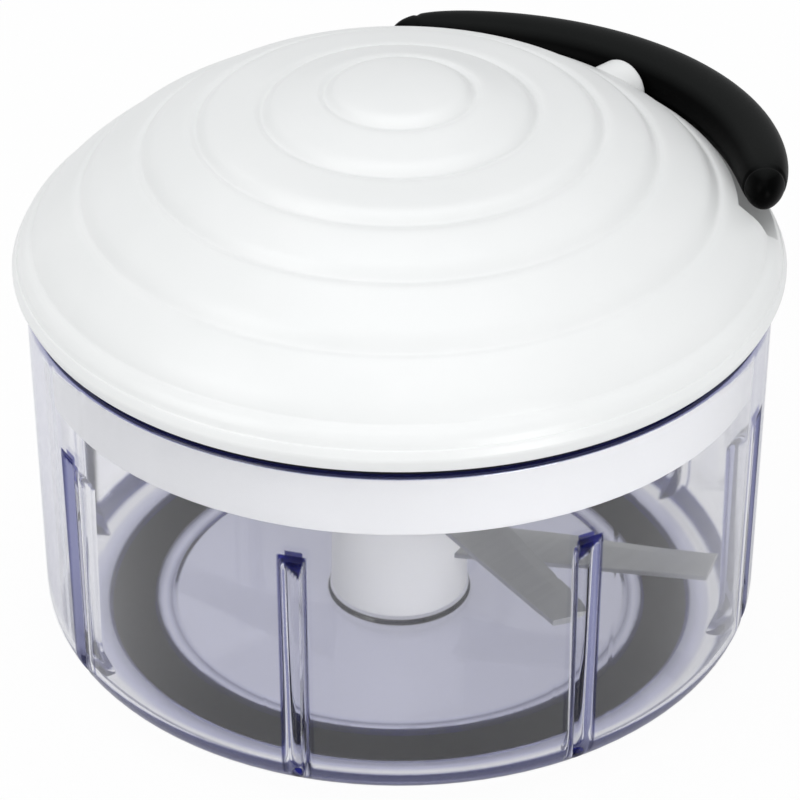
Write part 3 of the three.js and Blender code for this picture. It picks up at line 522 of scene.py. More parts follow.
def flute_angles():
    """Columns round the bowl: 0.3 degrees apart within 5 degrees of each flute, and 3.5 elsewhere."""
    near = np.arange(-flute_reach, flute_reach + 0.01, fine_step)
    far = np.linspace(flute_reach, 360 / flute_count - flute_reach, 11)[1:-1]
    one = np.radians(np.concatenate([near, far]))
    return (first_flute + np.arange(flute_count)[:, None] * (2 * math.pi / flute_count) + one).ravel()


def off_flute(angles):
    """Angle from the nearest flute's middle."""
    pitch = 2 * math.pi / flute_count
    return (angles - first_flute + pitch / 2) % pitch - pitch / 2


def groove_sides(apex, off):
    """Radius of a V's flat sides at an angle off its middle: apex / (cos a - |sin a| / steepness)."""
    return apex / np.maximum(np.cos(off) - np.abs(np.sin(off)) / flute_steepness, 0.2)


def fluted(line, apex, top, foot_reach=0.0):
    """An outline turned about Z, its radius cut down to a V at each flute. The V ends under a ceiling that
    slopes to its apex, and the apex can lean inwards at the foot."""
    angles = flute_angles()
    radius, height = rows_round(line, angles)
    lean = foot_reach * np.clip((rib_foot_top - height) / (rib_foot_top - base_lift), 0, 1)
    off = off_flute(angles)
    ceiling = (bowl_rim_radius - (top - height) / ceiling_slope) / np.cos(off)
    cut = soft_most(groove_sides(apex - lean, off), ceiling, bowl_edge)
    return spun(soft_least(radius, cut, bowl_edge), height, angles)


inner_corner = bowl_corner - bowl_wall
inner_foot = bowl_foot_radius - bowl_wall
inner_rim = bowl_rim_radius - bowl_wall
under = soft_corners([
    [0, under_height], [20, under_height], [39.2, under_height], [40.1, base_lift], [41.5, base_lift],
    [channel_inner, base_lift], [channel_inner, channel_top], [channel_outer, channel_top],
    [channel_outer, base_lift], [bowl_foot_radius - bowl_corner - 0.4, base_lift],
], 0.2)
outside = np.concatenate([
    under,
    quarter(bowl_foot_radius - bowl_corner, base_lift + bowl_corner, bowl_corner, -90, 0, 14)[:-1],
    wall_line(bowl_foot_radius, base_lift + bowl_corner, bowl_rim_radius),
    quarter(bowl_rim_radius - rim_round, bowl_height - rim_round, rim_round, 0, 90, 6),
])
inside = np.concatenate([
    quarter(inner_rim + rim_round, bowl_height - rim_round, rim_round, 90, 180, 6),
    wall_line(inner_foot, floor_top + inner_corner, inner_rim)[::-1],
    quarter(inner_foot - inner_corner, floor_top + inner_corner, inner_corner, 0, -90, 14)[1:],
    soft_corners([[radius, floor_top] for radius in (51.6, ring_outer, ring_inner, 42.4, 27, 12.6)] + [
        [12.2, 2.8], [boss_radius, 2.8], [boss_radius, boss_top], [pin_bore, boss_top], [pin_bore, pin_floor],
        [0, pin_floor],
    ], 0.3),
])
bowl_grid = np.concatenate([
    fluted(outside, groove_apex, groove_top),
    fluted(inside, rib_apex, rib_top, rib_foot_reach),
])
bowl = make_piece("bowl_shell", bowl_grid, bowl_clear, "bowl", "bowl_clear", "bowl", crease=50)
print("bowl:", bowl_grid.shape[0], "rows,", bowl_grid.shape[1], "columns")

# %% [markdown]
# Thick places of the plastic look deep blue: the foot and the rim, which are seen end on, and the grooves' edges
# and ceilings. To find that by bounces alone would take very many, so both masks are worked out from each point's
# place and kept in the mesh, where they hold from every side. Part of the dark is painted shade: at the foot, the
# shade under the bowl seen through the corner; at the rim, the shaded gap under the lid; and in the floor, besides
# the plastic's tint, the lid's shade on the paper below.

# %% Where the plastic looks deep
mid_groove, mid_wall = 58.0, 60.9
wall_start, foot_start = 55, 55.5
foot_top, foot_bottom = 4.3, 0.8
edge_place, edge_width = 2.15, 0.45
ceiling_reach, ceiling_slant = 2.35, 0.35


def band(value, middle, half_width):
    """1 at a middle value, falling smoothly to 0 at half a width from it."""
    return 1 - smooth_step(np.abs(value - middle) / half_width)


def write_masks(piece):
    """Works out both masks at each point and writes them as attributes. Deep is largest round the foot and rim and
    at the grooves' edges and ceilings, and small in the floor; at foot, rim and floor it is partly painted shade.
    Calm lies over edges, ceilings and ring."""
    place = np.zeros(len(piece.data.vertices) * 3)
    piece.data.vertices.foreach_get("co", place)
    x, y, height = place.reshape(-1, 3).T / mm
    radius = np.hypot(x, y)
    off = np.abs(off_flute(np.arctan2(y, x)))
    away = off * radius
    outer_face = radius > np.minimum(groove_sides(mid_groove, off), mid_wall)
    at_wall = smooth_step((radius - wall_start) / 1.5) * outer_face
    edges = band(away, edge_place, edge_width) * smooth_step((groove_top + 0.6 - height) / 0.6)
    ceilings = smooth_step((ceiling_reach - away - ceiling_slant * (groove_top - height)) / 0.35)
    ceilings = ceilings * (height < groove_top + 0.4)
    from_corner = np.hypot(radius - (bowl_foot_radius - bowl_corner), height - base_lift - bowl_corner)
    # Painted shade, in part: the foot's dark band and the rim's dark line.
    foot = 0.94 * smooth_step((foot_top - height) / 0.9) * smooth_step((height - foot_bottom) / 0.5)
    foot = foot * smooth_step(from_corner - bowl_corner + 1) * (radius > foot_start)
    rim = smooth_step((height - bowl_height + 0.6) / 0.3)
    # The floor's share is the plastic's tint and painted shade from the lid above.
    in_floor = (height < floor_top + 0.1) * (radius < 54.5)
    at_ring = 0.4 * (radius > 42.5) * (radius < 51.4)
    rings = 0.2 + 0.55 * band(radius, 40.5, 0.9) + 0.3 * band(radius, 53.2, 0.5) + at_ring
    deep = np.maximum.reduce([0.9 * edges * at_wall, ceilings * at_wall, foot, rim, rings * in_floor])
    ring_middle, ring_half = (ring_inner + ring_outer) / 2, (ring_outer - ring_inner) / 2 + 0.4
    over_ring = 1.25 * (np.abs(radius - ring_middle) < ring_half) * (np.abs(height - floor_top) < 0.1)
    calm = np.maximum(np.maximum(ceilings, 0.6 * edges) * at_wall, over_ring)
    for name, values in [("deep", deep), ("calm", calm)]:
        piece.data.attributes.new(name, "FLOAT", "POINT").data.foreach_set("value", values.astype(np.float32))
        print(name, "on average:", round(float(values.mean()), 3))


write_masks(bowl)

# %% [markdown]
# The dark ring under the floor keeps the bowl from sliding. It is soft, so its edges are rounder than those of
# hard plastic. It is moulded on, so its top reaches just into the plastic: a film of air between them would
# mirror the studio and make the dark ring look grey.

# %% Non-slip ring
ring_top = channel_top + 0.06
ring_line = soft_corners([
    [ring_inner, 0.0], [ring_outer, 0.0], [ring_outer, ring_top], [ring_inner, ring_top],
], 0.25, closed=True)
ring = turned_piece("non_slip_band", ring_line, 144, rubber, "bowl", "rubber", "non_slip_ring")
pin_line = soft_corners([[0, 1.8], [2.5, 1.8], [2.5, 38.6], [1.7, 39.4], [0, 39.4]], 0.2)
pin = make_piece("pin", turned(pin_line, 48), pin_steel, "bowl", "steel", "spindle_pin")
print("ring and pin:", len(ring.data.polygons), len(pin.data.polygons), "faces")

# %% [markdown]
# ## The rotor
# The hub is a tall tapered boss, open below for the pin and with a hexagonal socket on top for the drive. A
# hexagon is easy in polar form, so the socket's rows are only scaled, and no cut is needed. Its bore holds two
# bushes of slippery plastic.


# %% Hub
def hexed(line, columns, is_flat, sharpness=1.0):
    """Turns an outline about Z, but makes it hexagonal where a test of radius and height holds. A hexagon's
    radius is 1 over the cosine of the angle off a flat, and a power below 1 rounds its corners."""
    angles = around(columns)
    radius, height = rows_round(line, angles)
    off = (angles + math.pi / 6) % (math.pi / 3) - math.pi / 6
    radius = np.where(is_flat(radius, height), radius * (1 / np.cos(off)) ** sharpness, radius)
    return spun(radius, height, angles)


hub_line = soft_corners([
    [5.8, 3.3], [12.0, 3.3], [11.95, 8.0], [11.4, 52.0], [6.0, 52.0], [6.0, 42.0], [0.5, 42.0], [0.5, 40.0],
    [5.5, 40.0], [5.5, 3.3],
], 0.45, 5, closed=True)
hub_grid = hexed(hub_line, 120, lambda radius, height: (height > 41.5) & (radius < 6.3))
hub = make_piece("hub", hub_grid, hub_white, "rotor", "hub_white", "blade_hub", closed_rows=True)
bushes = [("bush_low", "hub_bush_lower", 11.7, 19.7), ("bush_high", "hub_bush_upper", 32.2, 39.7)]
for name, node, low, high in bushes:
    line = soft_corners([[2.8, low], [5.2, low], [5.2, high], [2.8, high]], 0.25, closed=True)
    turned_piece(name, line, 64, acetal, "rotor", "acetal", node)
print("hub:", len(hub.data.polygons), "faces")

# %% [markdown]
# Each blade is stamped from 1.2 mm steel, with a straight back and a curved front, and ground on that edge. It
# is made as a section carried from root to tip, because the ground slope then keeps its width along the curve.


# %% Blades
blade_root, blade_tip = 7.0, 55.8
blade_thick = 1.2
ground_width = 2.4
blade_half_width = 5.2
blade_narrowing = 1.35
bend_start = 0.45
tip_slant = 1.4
blade_places = [("lower", -56.5, 12.88), ("middle", 99.5, 20.51), ("upper", -104.5, 28.0)]


def blade_back(share):
    """The back edge: straight from 5.2 mm off the middle line at the root to 3.85 mm at the tip."""
    return -blade_half_width + blade_narrowing * share


def blade_front(share):
    """The front edge: straight for nearly half the length, then a curve of shape 1 - s^2 down to the tip."""
    bend = np.clip((share - bend_start) / (1 - bend_start), 0, 1)
    return blade_half_width - blade_narrowing * (1 - (1 - bend) ** 2)


def blade_grid():
    """Rows along the blade, each a closed section. The tip is cut at a slant."""
    share = np.linspace(0, 1, 60)[:, None]
    back, front = blade_back(share), blade_front(share)
    half = blade_thick / 2
    across = np.array([0, 0, 0.02, 0.3, 0.6, 1, 1, 1, 0.6, 0.3, 0.02, 0])
    height = np.array([-0.4, 0.4, 0.55, half, half, 0.09, 0, -0.09, -half, -half, -0.55, -0.4])
    flat_front = front - ground_width
    y = np.where(across < 1, back + (flat_front - back) * across / 0.6, front + 0 * across)
    slant = tip_slant * (front - y) / (front - back) * share
    x = blade_root + (blade_tip - blade_root) * share - slant * (share > 0.9)
    return np.stack([x, y, height + 0 * y], axis=-1)


for name, degrees, height in blade_places:
    steel = ground_steel("blade_steel_" + name, degrees, (0.37, 0.375, 0.37), (0.54, 0.545, 0.54), 0.28)
    flat = blade_grid()
    turn = math.radians(degrees)
    x = flat[..., 0] * math.cos(turn) - flat[..., 1] * math.sin(turn)
    y = flat[..., 0] * math.sin(turn) + flat[..., 1] * math.cos(turn)
    placed = np.stack([x, y, flat[..., 2] + height], axis=-1)
    make_piece(
        "blade_edge_" + name, placed, steel, "rotor", "blade_steel", "blade_" + name, crease=12, capped=True,
    )
print("blades:", len(blade_places))

# %% [markdown]
# ## The lid
# The dome falls in rings, like a drop's ripples. Its mean line is a smooth curve through measured points, and
# the ripple on it leans like a wave. A narrow crease ends each ring, and the last one swells a little. The grip's
# seat is cut into the slope. Both outlines, with and without the seat, have the same number of points, so the
# surface can pass from one to the other within half a degree.

# %% Dome outline
lid_radius = 65.0
lid_edge_radius = 63.9
lid_edge_inner = 61.9
lid_underside = 66.7
lid_widest = 69.7
dome_rise = 32.1
ripple_height = 0.22
ripple_lean = 0.8
crease_depth = 0.76
crease_width = 1.1
crease_shift = 0.15
lip_depth, lip_radius, lip_width = 0.45, 64.15, 0.22
rim_swell = 0.5
tier_shares = np.array([0, 0.185, 0.344, 0.512, 0.653, 0.811, 0.945, 1])
tier_heights = np.array([1, 0.955, 0.855, 0.776, 0.629, 0.414, 0.162, 0])
tiers = len(tier_shares) - 1


def through(values, along, start):
    """A smooth curve through values, by the Catmull-Rom formula. start is the value before the first."""
    padded = np.concatenate([[start], values, values[-1:]])
    span = np.minimum(along.astype(int), len(values) - 2)
    t = along - span
    before, first, last, behind = (padded[span + i] for i in range(4))
    leave, arrive = (last - before) / 2, (behind - first) / 2
    return ((2 * first - 2 * last + leave + arrive) * t ** 3
            + (-3 * first + 3 * last - 2 * leave - arrive) * t ** 2 + leave * t + first)


def ripple(phase):
    """Height of the ripple over one ring: minus the angle of a point on a circle of radius lean about (1, 0),
    seen from the origin. It falls steeply where a ring ends and rises evenly over the next."""
    turn = 2 * math.pi * phase
    return -ripple_height * np.arctan2(ripple_lean * np.sin(turn), 1 - ripple_lean * np.cos(turn))


def dome_line(steps):
    """The dome's outline, from the crown to the widest ring. At the foot of each ring it dips by a narrow
    bell, depth * exp(-(distance / width)^2). Points lie closer at the creases and rim."""
    even = np.linspace(0, tiers, tiers * steps + 1)
    near = (np.arange(1, tiers)[:, None] + np.linspace(-0.1, 0.14, steps)).ravel()
    along = np.unique(np.concatenate([even, near, np.linspace(tiers - 0.5, tiers, 2 * steps)]))
    radius = lid_radius * through(tier_shares, along, -tier_shares[1])
    height = lid_widest + dome_rise * through(tier_heights, along, tier_heights[1])
    share = along % 1
    phase = np.where(along < 1, (1 + share) / 2, share)
    swell = np.where(along < tiers - 1, ripple(phase), rim_swell * np.sin(math.pi * share))
    bell = np.exp(-((radius[:, None] - lid_radius * tier_shares[1:tiers] - crease_shift) / crease_width) ** 2)
    lip = lip_depth * np.exp(-((radius - lip_radius) / lip_width) ** 2)
    return np.stack([radius, height + swell - crease_depth * bell.sum(axis=1) - lip], axis=1)


dome = dome_line(16)
print("dome:", len(dome), "points from", round(dome[0, 1], 1), "to", round(dome[-1, 1], 1), "mm")

# %% Lid cover surface
seat_radius = 56.5
seat_floor = 72.8
seat_degrees = 47.5
seat_edge = math.radians(0.5)
seat_wall = 1.8
seat_step = 0.9
cover_wall = 2.2
cover_floor = 68.6


def seat_share(angles, widening=0.0):
    """1 within the grip's seat, 0 outside it, and a smooth step between. The widening is in degrees."""
    off = np.abs((angles + math.pi) % (2 * math.pi) - math.pi)
    return smooth_step((math.radians(seat_degrees + widening) - off) / seat_edge + 0.5)


def seat_cut(line, inset):
    """An outline with the seat cut in it: points just outside the seat's wall drop down it, and those beyond
    keep to the seat's floor until the dome falls below it."""
    radius, height = line.T
    wall, floor = seat_radius - inset, seat_floor - inset
    drop = np.clip((radius - wall) / seat_step, 0, 1)
    cut_radius = np.where((radius > wall) & (radius < wall + seat_step), wall + 0.02, radius)
    top = np.interp(wall, radius, height)
    cut_height = np.where(radius > wall, np.minimum(height, top + (floor - top) * drop), height)
    cut_height = np.where(radius >= wall + seat_step, np.minimum(height, floor), cut_height)
    return np.stack([cut_radius, cut_height], axis=1)


def lid_angles():
    """Columns: 2 degrees apart, and 0.1 degree apart where the seat ends."""
    even = np.arange(-180, 180, 2.0)
    limits = [side * end for side in (-1, 1) for end in (seat_degrees, seat_degrees + seat_wall)]
    ends = np.concatenate([np.arange(-0.4, 0.41, 0.1) + limit for limit in limits])
    return np.radians(np.unique(np.round(np.concatenate([even, ends]), 3)))


near_wall = np.linspace(seat_radius - 0.3, seat_radius + 1.2, 16)
outer_radius = np.unique(np.concatenate([dome[:, 0], near_wall]))
outer = np.stack([outer_radius, np.interp(outer_radius, *dome.T)], axis=1)
inner_radius, inner_height = dome_line(4).T
inner = np.stack([
    inner_radius * lid_edge_inner / lid_radius, np.maximum(inner_height - cover_wall, cover_floor),
], axis=1)
edge = soft_corners([
    [lid_radius, lid_widest], [lid_radius, lid_widest - 0.5], [lid_edge_radius, lid_underside + 0.2],
    [lid_edge_radius - 0.3, lid_underside], [lid_edge_inner, lid_underside], [lid_edge_inner, 68.5],
], 0.25)
plain_line = np.concatenate([outer, edge, inner[::-1]])
seat_line = np.concatenate([seat_cut(outer, 0), edge, seat_cut(inner, seat_wall)[::-1]])
cover_angles = lid_angles()
is_outer = np.arange(len(plain_line))[:, None] < len(outer) + len(edge)
share = np.where(is_outer, seat_share(cover_angles), seat_share(cover_angles, seat_wall))
cover_radius, cover_height = (plain_line[:, [i]] * (1 - share) + seat_line[:, [i]] * share for i in (0, 1))
cover = make_piece(
    "lid_dome", spun(cover_radius, cover_height, cover_angles), lid_white, "lid", "lid_white", "lid_cover",
    crease=32,
)
print("lid cover:", cover_radius.shape)

# %% [markdown]
# The cord leaves through a short nozzle that swells out of the dome. It is turned about its own axis, which
# lies along X. Its hole is cut through the dome's wall with a Boolean, because it crosses the seat's wall at an
# angle to every row.

# %% Nozzle
cord_height = 79.7
nozzle_tip = 56.7
nozzle_bore = 2.9
nozzle_mouth = 44.0


def turned_along_x(line, columns=48):
    """Turns an outline about the cord's axis: its height becomes x, and its radius lies round the axis."""
    grid = turned(line, columns)
    return np.stack([grid[..., 2], grid[..., 1], grid[..., 0] + cord_height], axis=-1)


def carve(piece, line):
    """Cuts a shape, turned about the cord's axis, out of a piece with an exact Boolean. The result becomes the
    piece's mesh, so that no modifier and no cutter is left."""
    grid = turned_along_x(line)
    cutter = add_object("cutter", make_mesh("cutter", grid, grid_faces(*grid.shape[:2]).tolist(), 30))
    bpy.context.view_layer.update()
    step = piece.modifiers.new("cut", "BOOLEAN")
    step.operation = "DIFFERENCE"
    step.solver = "EXACT"
    step.object = cutter
    seen = piece.evaluated_get(bpy.context.evaluated_depsgraph_get())
    cut = bpy.data.meshes.new_from_object(seen)
    piece.modifiers.clear()
    piece.data = cut
    bpy.data.objects.remove(cutter)


carve(cover, [[0, 40], [nozzle_bore, 40], [nozzle_bore, 60], [0, 60]])
nozzle_line = soft_corners([
    [nozzle_bore, nozzle_mouth], [nozzle_bore, nozzle_tip], [5.1, nozzle_tip - 0.3], [5.2, 50.0], [5.8, 47.5],
    [7.6, nozzle_mouth],
], 1.2, 7, closed=True)
nozzle_grid = turned_along_x(nozzle_line, 72)
make_piece("nozzle", nozzle_grid, lid_white, "lid", "lid_white", "lid_cover", closed_rows=True)
eyelet_line = soft_corners([[1.4, 50.4], [1.4, 56.4], [2.6, 56.4], [2.6, 50.4]], 0.3, 4, closed=True)
make_piece("eyelet", turned_along_x(eyelet_line), acetal, "lid", "acetal", "cord_eyelet", closed_rows=True)
print("lid cover after the cut:", len(cover.data.polygons), "faces")

# %% [markdown]
# The lid's base closes the drive in. Its skirt drops into the bowl, where it shows as a pale band through the
# clear wall, and its flange rests over the rim on a dark seal. Both are round all the way, so an outline turned
# about the axis is all they need. The collar in the middle holds the drive's bush.

# %% Lid base and seal
base_line = soft_corners([
    [9.8, 56.0], [12.5, 56.0], [57.0, 56.0], [58.3, 56.0], [58.3, 53.0], [60.1, 53.0], [60.1, 66.7], [61.6, 66.7],
    [61.6, 68.3], [58.3, 68.3], [58.3, 58.0], [12.5, 58.0], [12.5, 65.0], [9.8, 65.0],
], 0.4, 5, closed=True)
seal_line = soft_corners([[60.4, 65.5], [62.5, 65.5], [62.5, 66.4], [60.4, 66.4]], 0.3, closed=True)
lid_base = turned_piece("base_skirt", base_line, 180, base_white, "lid", "lid_white", "lid_base")
turned_piece("seal", seal_line, 180, rubber, "lid", "rubber", "rim_seal")
print("lid base:", len(lid_base.data.polygons), "faces")

# %% [markdown]
# The drive coupler is what shows under the lid when it is off: a hexagonal nose that fits the hub's socket. Its
# corners are a little rounded, so that it finds the socket by itself.

# %% Drive coupler and bush
coupler_line = soft_corners([
    [0, 42.3], [5.0, 42.3], [5.7, 43.4], [5.7, 52.3], [7.5, 52.3], [7.5, 67.7], [11.0, 67.7], [11.0, 69.7],
    [2.8, 69.7], [2.8, 57.7], [0, 57.7],
], 0.3, 5)
bush_line = soft_corners([
    [7.8, 56.0], [9.5, 56.0], [9.5, 65.3], [12.5, 65.3], [12.5, 66.3], [7.8, 66.3],
], 0.25, closed=True)
coupler_grid = hexed(coupler_line, 120, lambda radius, height: height < 52.2, 0.93)
make_piece("coupler_nose", coupler_grid, acetal, "coupler", "acetal", "drive_coupler", crease=40)
turned_piece("bush", bush_line, 96, acetal, "lid", "acetal", "coupler_bush")
print("coupler:", coupler_grid.shape)

# %% [markdown]
# Seven screws hold the lid and the spring's plate. Their round heads have a hexagonal recess, made like the
# hub's socket. Their places follow from the circle that they stand on.


# %% Screws
def screw(name, circle, degrees, face, radius, head_radius, length, node):
    """A turned screw that points up from a face, with its head below it and a hexagonal recess in the head."""
    top = face - 0.3
    line = soft_corners([
        [0, top - 0.5], [0.45 * head_radius, top - 0.5], [0.45 * head_radius, top - 1.2], [head_radius, top - 1.2],
        [head_radius, top], [radius, top], [radius, face + length - 0.8], [0.3 * radius, face + length],
        [0, face + length],
    ], 0.35, 5)
    grid = hexed(line, 48, lambda radii, heights: (heights < top - 0.3) & (radii < 0.5 * head_radius), 0.95)
    turn = math.radians(degrees)
    grid = grid + np.array([circle * math.cos(turn), circle * math.sin(turn), 0])
    make_piece(name, grid, pin_steel, "lid", "steel", node)


for i in range(4):
    screw(f"base_screw_{i + 1}", 46.15, 45 + 90 * i, 56.0, 1.5, 3.0, 14.0, f"lid_screw_{i + 1}")
for i in range(3):
    screw(f"plate_screw_{i + 1}", 23.5, 60 + 120 * i, 87.6, 1.0, 2.2, 6.4, f"spring_screw_{i + 1}")
print("screws: 7")

# %% [markdown]
# ## The grip
# The black grip is a crescent in the lid's seat. Its inner face is an arc about the lid's axis, and its outer
# face an arc about a centre further out, so it is thickest in the middle. A unit sphere with its poles at the
# two ends is bent along it, and each ring of it becomes an oval section, full along most of the length. A
# shallow groove sets off each rounded end, and the grip hangs a little askew, as on a used chopper.

# %% Grip surface
grip_inner = 57.0
grip_width = 12.8
grip_arc = 56.0
grip_offset = grip_inner + grip_width - grip_arc
grip_axis = 79.05
grip_half_height = 4.5
grip_reach = math.radians(47.0)
grip_slip = math.radians(-0.9)
grip_lift = 0.7
grip_roll = 0.024
grip_fullness = 14
groove_depth, groove_place, groove_width = 0.05, 0.905, 0.008


def grip_middle(across):
    """Height of the grip's middle. It hangs a little askew on its cord, so one end is higher."""
    return grip_axis + grip_lift - grip_roll * across


def grip_grid(rows=280, columns=64):
    """Rows from end to end, closer together at the ends, and columns round the oval section. The size of a
    section is the root of 1 - s^14, less the groove."""
    along = -np.cos(np.linspace(0, math.pi, rows))[:, None]
    section = around(columns)[None, :]
    groove = groove_depth * np.exp(-((np.abs(along) - groove_place) / groove_width) ** 2)
    full = np.sqrt(np.maximum(0, 1 - np.abs(along) ** grip_fullness)) - groove
    turn = along * grip_reach + grip_slip
    across = grip_offset * np.sin(turn)
    outer = grip_offset * np.cos(turn) + np.sqrt(grip_arc ** 2 - across ** 2)
    radius = (outer + grip_inner) / 2 + np.cos(section) * full * (outer - grip_inner) / 2
    place = np.stack([radius * np.cos(turn), radius * np.sin(turn)], axis=-1)
    height = grip_middle(place[..., 1]) + np.sin(section) * full * grip_half_height
    return np.concatenate([place, height[..., None]], axis=-1)


grip = make_piece("grip", grip_grid(), handle_black, "handle", "handle_black", "handle_grip", crease=50)
carve(grip, [[0, 50], [1.4, 50], [1.4, 62.1], [2.9, 62.1], [2.9, 75], [0, 75]])
plug_line = soft_corners([[0, 67.9], [1.3, 67.9], [2.6, 67.9], [2.6, 69.7], [1.3, 69.7], [0, 69.7]], 0.2, 5)
plug_grid = turned_along_x(plug_line)
round_oval = np.sqrt(1 - ((plug_grid[..., 2] - grip_middle(plug_grid[..., 1])) / grip_half_height) ** 2)
middle_radius, half_depth = grip_inner + grip_width / 2, grip_width / 2
face = np.sqrt((middle_radius + half_depth * round_oval) ** 2 - plug_grid[..., 1] ** 2)
plug_grid[..., 0] = np.minimum(plug_grid[..., 0], face - 0.08)
make_piece("plug", plug_grid, handle_black, "handle", "handle_black", "handle_plug")
print("grip:", len(grip.data.polygons), "faces")

# %% [markdown]
# ## The cord
# The cord starts on the drum, four turns deep, leaves it in a straight line to the nozzle and ends in a knot
# inside the grip. Each stretch is a round tube along a path. The stretch from the drum to the grip is attached to
# no body.

# %% Tubes along a path
cord_radius = 0.9
cord_columns = 16


def unit(ways):
    """Directions with a length of 1."""
    return ways / np.linalg.norm(ways, axis=-1, keepdims=True)


def tube_grid(path, ahead, up, radius, columns):
    """Rings about the points of a path. Each ring stands square to the way ahead: its side is that way crossed
    with an up direction, and its top is the side crossed with the way ahead."""
    ahead = unit(ahead)
    side = unit(np.cross(ahead, up))
    top = np.cross(side, ahead)
    turn = around(columns)[None, :, None]
    return path[:, None] + radius * (np.cos(turn) * side[:, None] + np.sin(turn) * top[:, None])


def cord_way(piece, path, columns):
    """A UV map: u is the length along the path in millimetres, and v the turn round it, which goes on past 1 in
    the faces that close the ring."""
    length = np.concatenate([[0], np.cumsum(np.linalg.norm(np.diff(path, axis=0), axis=1))])
    layer = piece.data.uv_layers.new(name="cord_way")
    for face in piece.data.polygons:
        row, column = np.divmod(face.vertices, columns)
        turn = column / columns
        turn = turn + (turn.max() > 0.75) * (turn < 0.25)
        for corner, u, v in zip(face.loop_indices, length[row], turn):
            layer.data[corner].uv = (u, v)


def cord_piece(name, path, body, node):
    """A stretch of cord with its braid's UV map."""
    grid = tube_grid(path, np.gradient(path, axis=0), [0, 0, 1.0], cord_radius, cord_columns)
    piece = make_piece(name, grid, cord_braid, body, "cord", node, capped=True)
    cord_way(piece, path, cord_columns)
    return piece


winding_radius = 11.0
winding_turns = 4
winding_low, winding_high = 75.7, 84.9
bend_reach = 1.8
leave_angle = -math.acos(winding_radius / nozzle_mouth)
share = np.linspace(0, 1, winding_turns * 48 + 1)
turn = leave_angle + 2 * math.pi * winding_turns * (share - 1)
winding_path = spun(winding_radius, winding_low + (winding_high - winding_low) * share, turn)
cord_piece("cord_on_drum", winding_path, "drum", "cord_winding")

leave_point = winding_path[-1]
mouth = np.array([nozzle_mouth, 0.0, cord_height])
inner_end = np.array([62.3, 0.0, cord_height])
to_mouth = unit(mouth - leave_point)
bend_in, bend_out = mouth - bend_reach * to_mouth, mouth + np.array([bend_reach, 0, 0])
t = np.linspace(0, 1, 9)[:, None]
bend = (1 - t) ** 2 * bend_in + 2 * t * (1 - t) * mouth + t ** 2 * bend_out
first = leave_point + 1.2 * to_mouth
straight_in = first + (bend_in - first) * np.linspace(0, 1, 24)[:-1, None]
straight_out = bend_out + (inner_end - bend_out) * np.linspace(0, 1, 90)[1:, None]
lead_path = np.concatenate([straight_in, bend, straight_out])
lead = cord_piece("cord_to_grip", lead_path, None, "cord_lead")
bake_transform(lead)
print("cord:", len(winding_path), "and", len(lead_path), "points")

# %% [markdown]
# The knot in the grip is a plain overhand knot. Its middle line is the trefoil curve, whose three loops pass
# over and under each other, so one formula draws the knot.

# %% Knot
knot_centre = 65.0
knot_deep, knot_wide = 0.55, 0.56
knot_columns = 12
knot_cord_radius = 0.85
turn = around(96)
knot_path = np.stack([
    knot_centre + knot_deep * np.sin(3 * turn),
    knot_wide * (np.sin(turn) + 2 * np.sin(2 * turn)),
    cord_height + knot_wide * (np.cos(turn) - 2 * np.cos(2 * turn)),
], axis=1)
knot_ahead = np.roll(knot_path, -1, axis=0) - np.roll(knot_path, 1, axis=0)
knot_grid = tube_grid(knot_path, knot_ahead, [1.0, 0, 0], knot_cord_radius, knot_columns)
knot = make_piece("knot", knot_grid, cord_braid, "handle", "cord", "cord_knot", closed_rows=True)
cord_way(knot, knot_path, knot_columns)
print("knot:", len(knot.data.polygons), "faces")

# %% [markdown]
# ## The recoil spring
# The spring is a flat steel strip, wound in a spiral from the drum's arbor out to its housing. The radius
# grows evenly with the angle, and a rounded rectangle is carried along that line.

# %% Spring
spring_turns = 4.5
spring_inner, spring_outer = 5.6, 16.9
spring_low, spring_high = 89.2, 93.5
spring_half = 0.3
turn = np.linspace(0, 2 * math.pi * spring_turns, 325)[:, None]
middle = spring_inner + (spring_outer - spring_inner) * turn / turn[-1]
section = soft_corners([
    [-spring_half, spring_low], [spring_half, spring_low], [spring_half, spring_high], [-spring_half, spring_high],
], 0.12, 3, closed=True)
spring_grid = spun(middle + section[:, 0], section[:, 1] + 0 * turn, turn)
make_piece("spring_strip", spring_grid, pin_steel, "lid", "steel", "recoil_spring", crease=50, capped=True)
print("spring:", spring_grid.shape)

# %% [markdown]
# ## The pieces that stay as they are
# The drive inside the lid is never seen while the chopper is whole, so its CAD nodes are shown as they are, in
# the finish of their material slot.

# %% Finishes for the CAD nodes
finish_of_slot = {"acetal": acetal, "steel": pin_steel}
kept = []
for entry in frame["record"]["subparts"]:
    node = nodes[entry["node"]]
    if not node.hide_render:
        node.data.materials.clear()
        node.data.materials.append(finish_of_slot[entry["material_slot"]])
        kept.append(entry["node"])
print("CAD nodes shown:", kept)

# %% [markdown]
# ## Floor, light and background
# The photograph has a pure white background. The floor is white paper, which the camera sees almost as plain
# white. Rays through the clear bowl see a third of that, and mirrored rays a fifth, and the rest of its colour
# is its real, lit surface, which keeps the shadow and the bowl's contrast. The world is plain white for the
# camera too. For other rays it is lighter overhead than at the horizon, so black and clear plastic have
# something dark to mirror. Large soft lamps stand above, to the left and in front, as in a product studio.

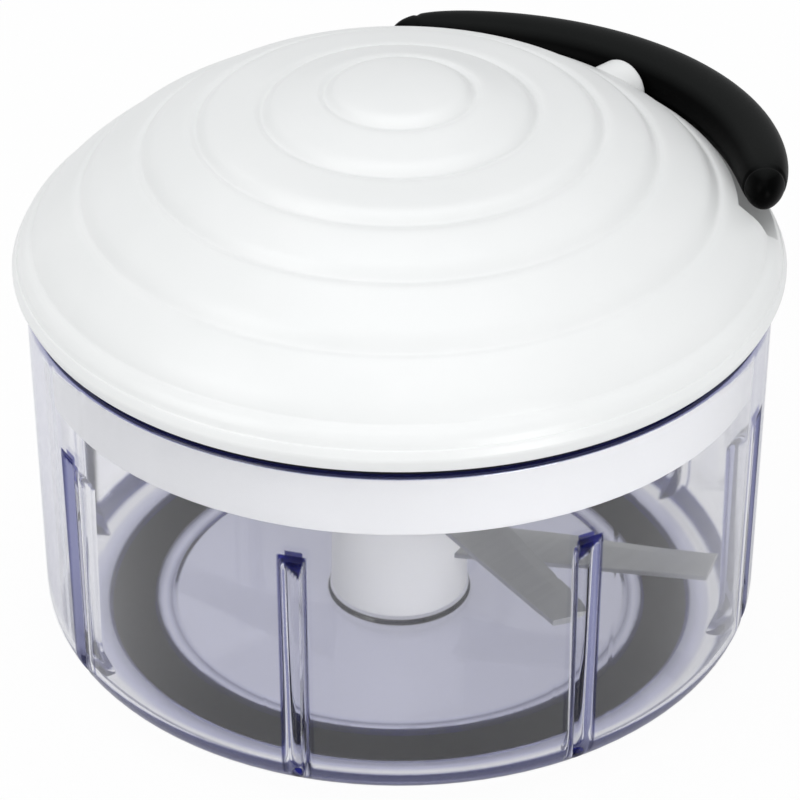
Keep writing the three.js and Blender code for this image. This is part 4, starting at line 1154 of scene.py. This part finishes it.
# %% Stage
white_share = 0.96
through_share = 0.35
mirror_share = 0.2
floor_size = 3.0
floor_gap = 0.0002

paper = Finish("paper")
white = paper.node("LightPath", output="Is Camera Ray") * white_share
for kind, share in [("Is Transmission Ray", through_share), ("Is Glossy Ray", mirror_share)]:
    white = white.larger(paper.node("LightPath", output=kind) * share)
fibres = paper.noise(paper.place(), size=1.2, detail=3)
paper.dress(Base_Color=paper.colours(fibres, (0.86, 0.86, 0.86), (0.88, 0.88, 0.88)), Roughness=0.9)
glow = paper.node("Emission", None, {"Color": (1, 1, 1, 1), "Strength": 1.0})
paper.feed(paper.output.inputs["Surface"], paper.blend(white, Shade(paper, paper.base.outputs[0]), glow))
bpy.ops.mesh.primitive_plane_add(size=floor_size, location=(0, 0, -floor_gap))
floor = bpy.context.object
floor.name = "floor"
floor.data.materials.append(paper.holder)

sky = Finish("studio", bpy.data.worlds)
bpy.context.scene.world = sky.holder
way = sky.node("TexCoord", output="Generated")
up = sky.part(way, "Z").larger(0)
tone = sky.colours(up, (0.46, 0.464, 0.47), (0.70, 0.71, 0.72))
soft = sky.node("Background", None, {"Color": tone, "Strength": 1.0})
plain = sky.node("Background", None, {"Color": (1, 1, 1, 1), "Strength": 1.0})
camera_ray = sky.node("LightPath", output="Is Camera Ray")
sky.feed(sky.output.inputs["Surface"], sky.blend(camera_ray, soft, plain))


def lamp(name, place, aim, size, power):
    """A square area lamp, turned so that it faces a point."""
    light = bpy.data.lights.new(name, "AREA")
    light.shape = "SQUARE"
    light.size = size
    light.energy = power
    holder = add_object(name, light)
    holder.location = place
    way = np.array(aim) - np.array(place)
    flat = math.hypot(way[0], way[1])
    holder.rotation_euler = (math.atan2(flat, -way[2]), 0, math.atan2(way[1], way[0]) - math.pi / 2)


lamp("top_lamp", (-0.05, -0.05, 1.1), (0, 0, 0.06), 0.9, 3.0)
lamp("left_lamp", (-0.80, 0.20, 0.70), (0, 0, 0.06), 0.6, 2.4)
lamp("front_lamp", (-0.22, -0.95, 0.17), (0, 0, 0.05), 0.34, 2.4)
print("lamps: 3")
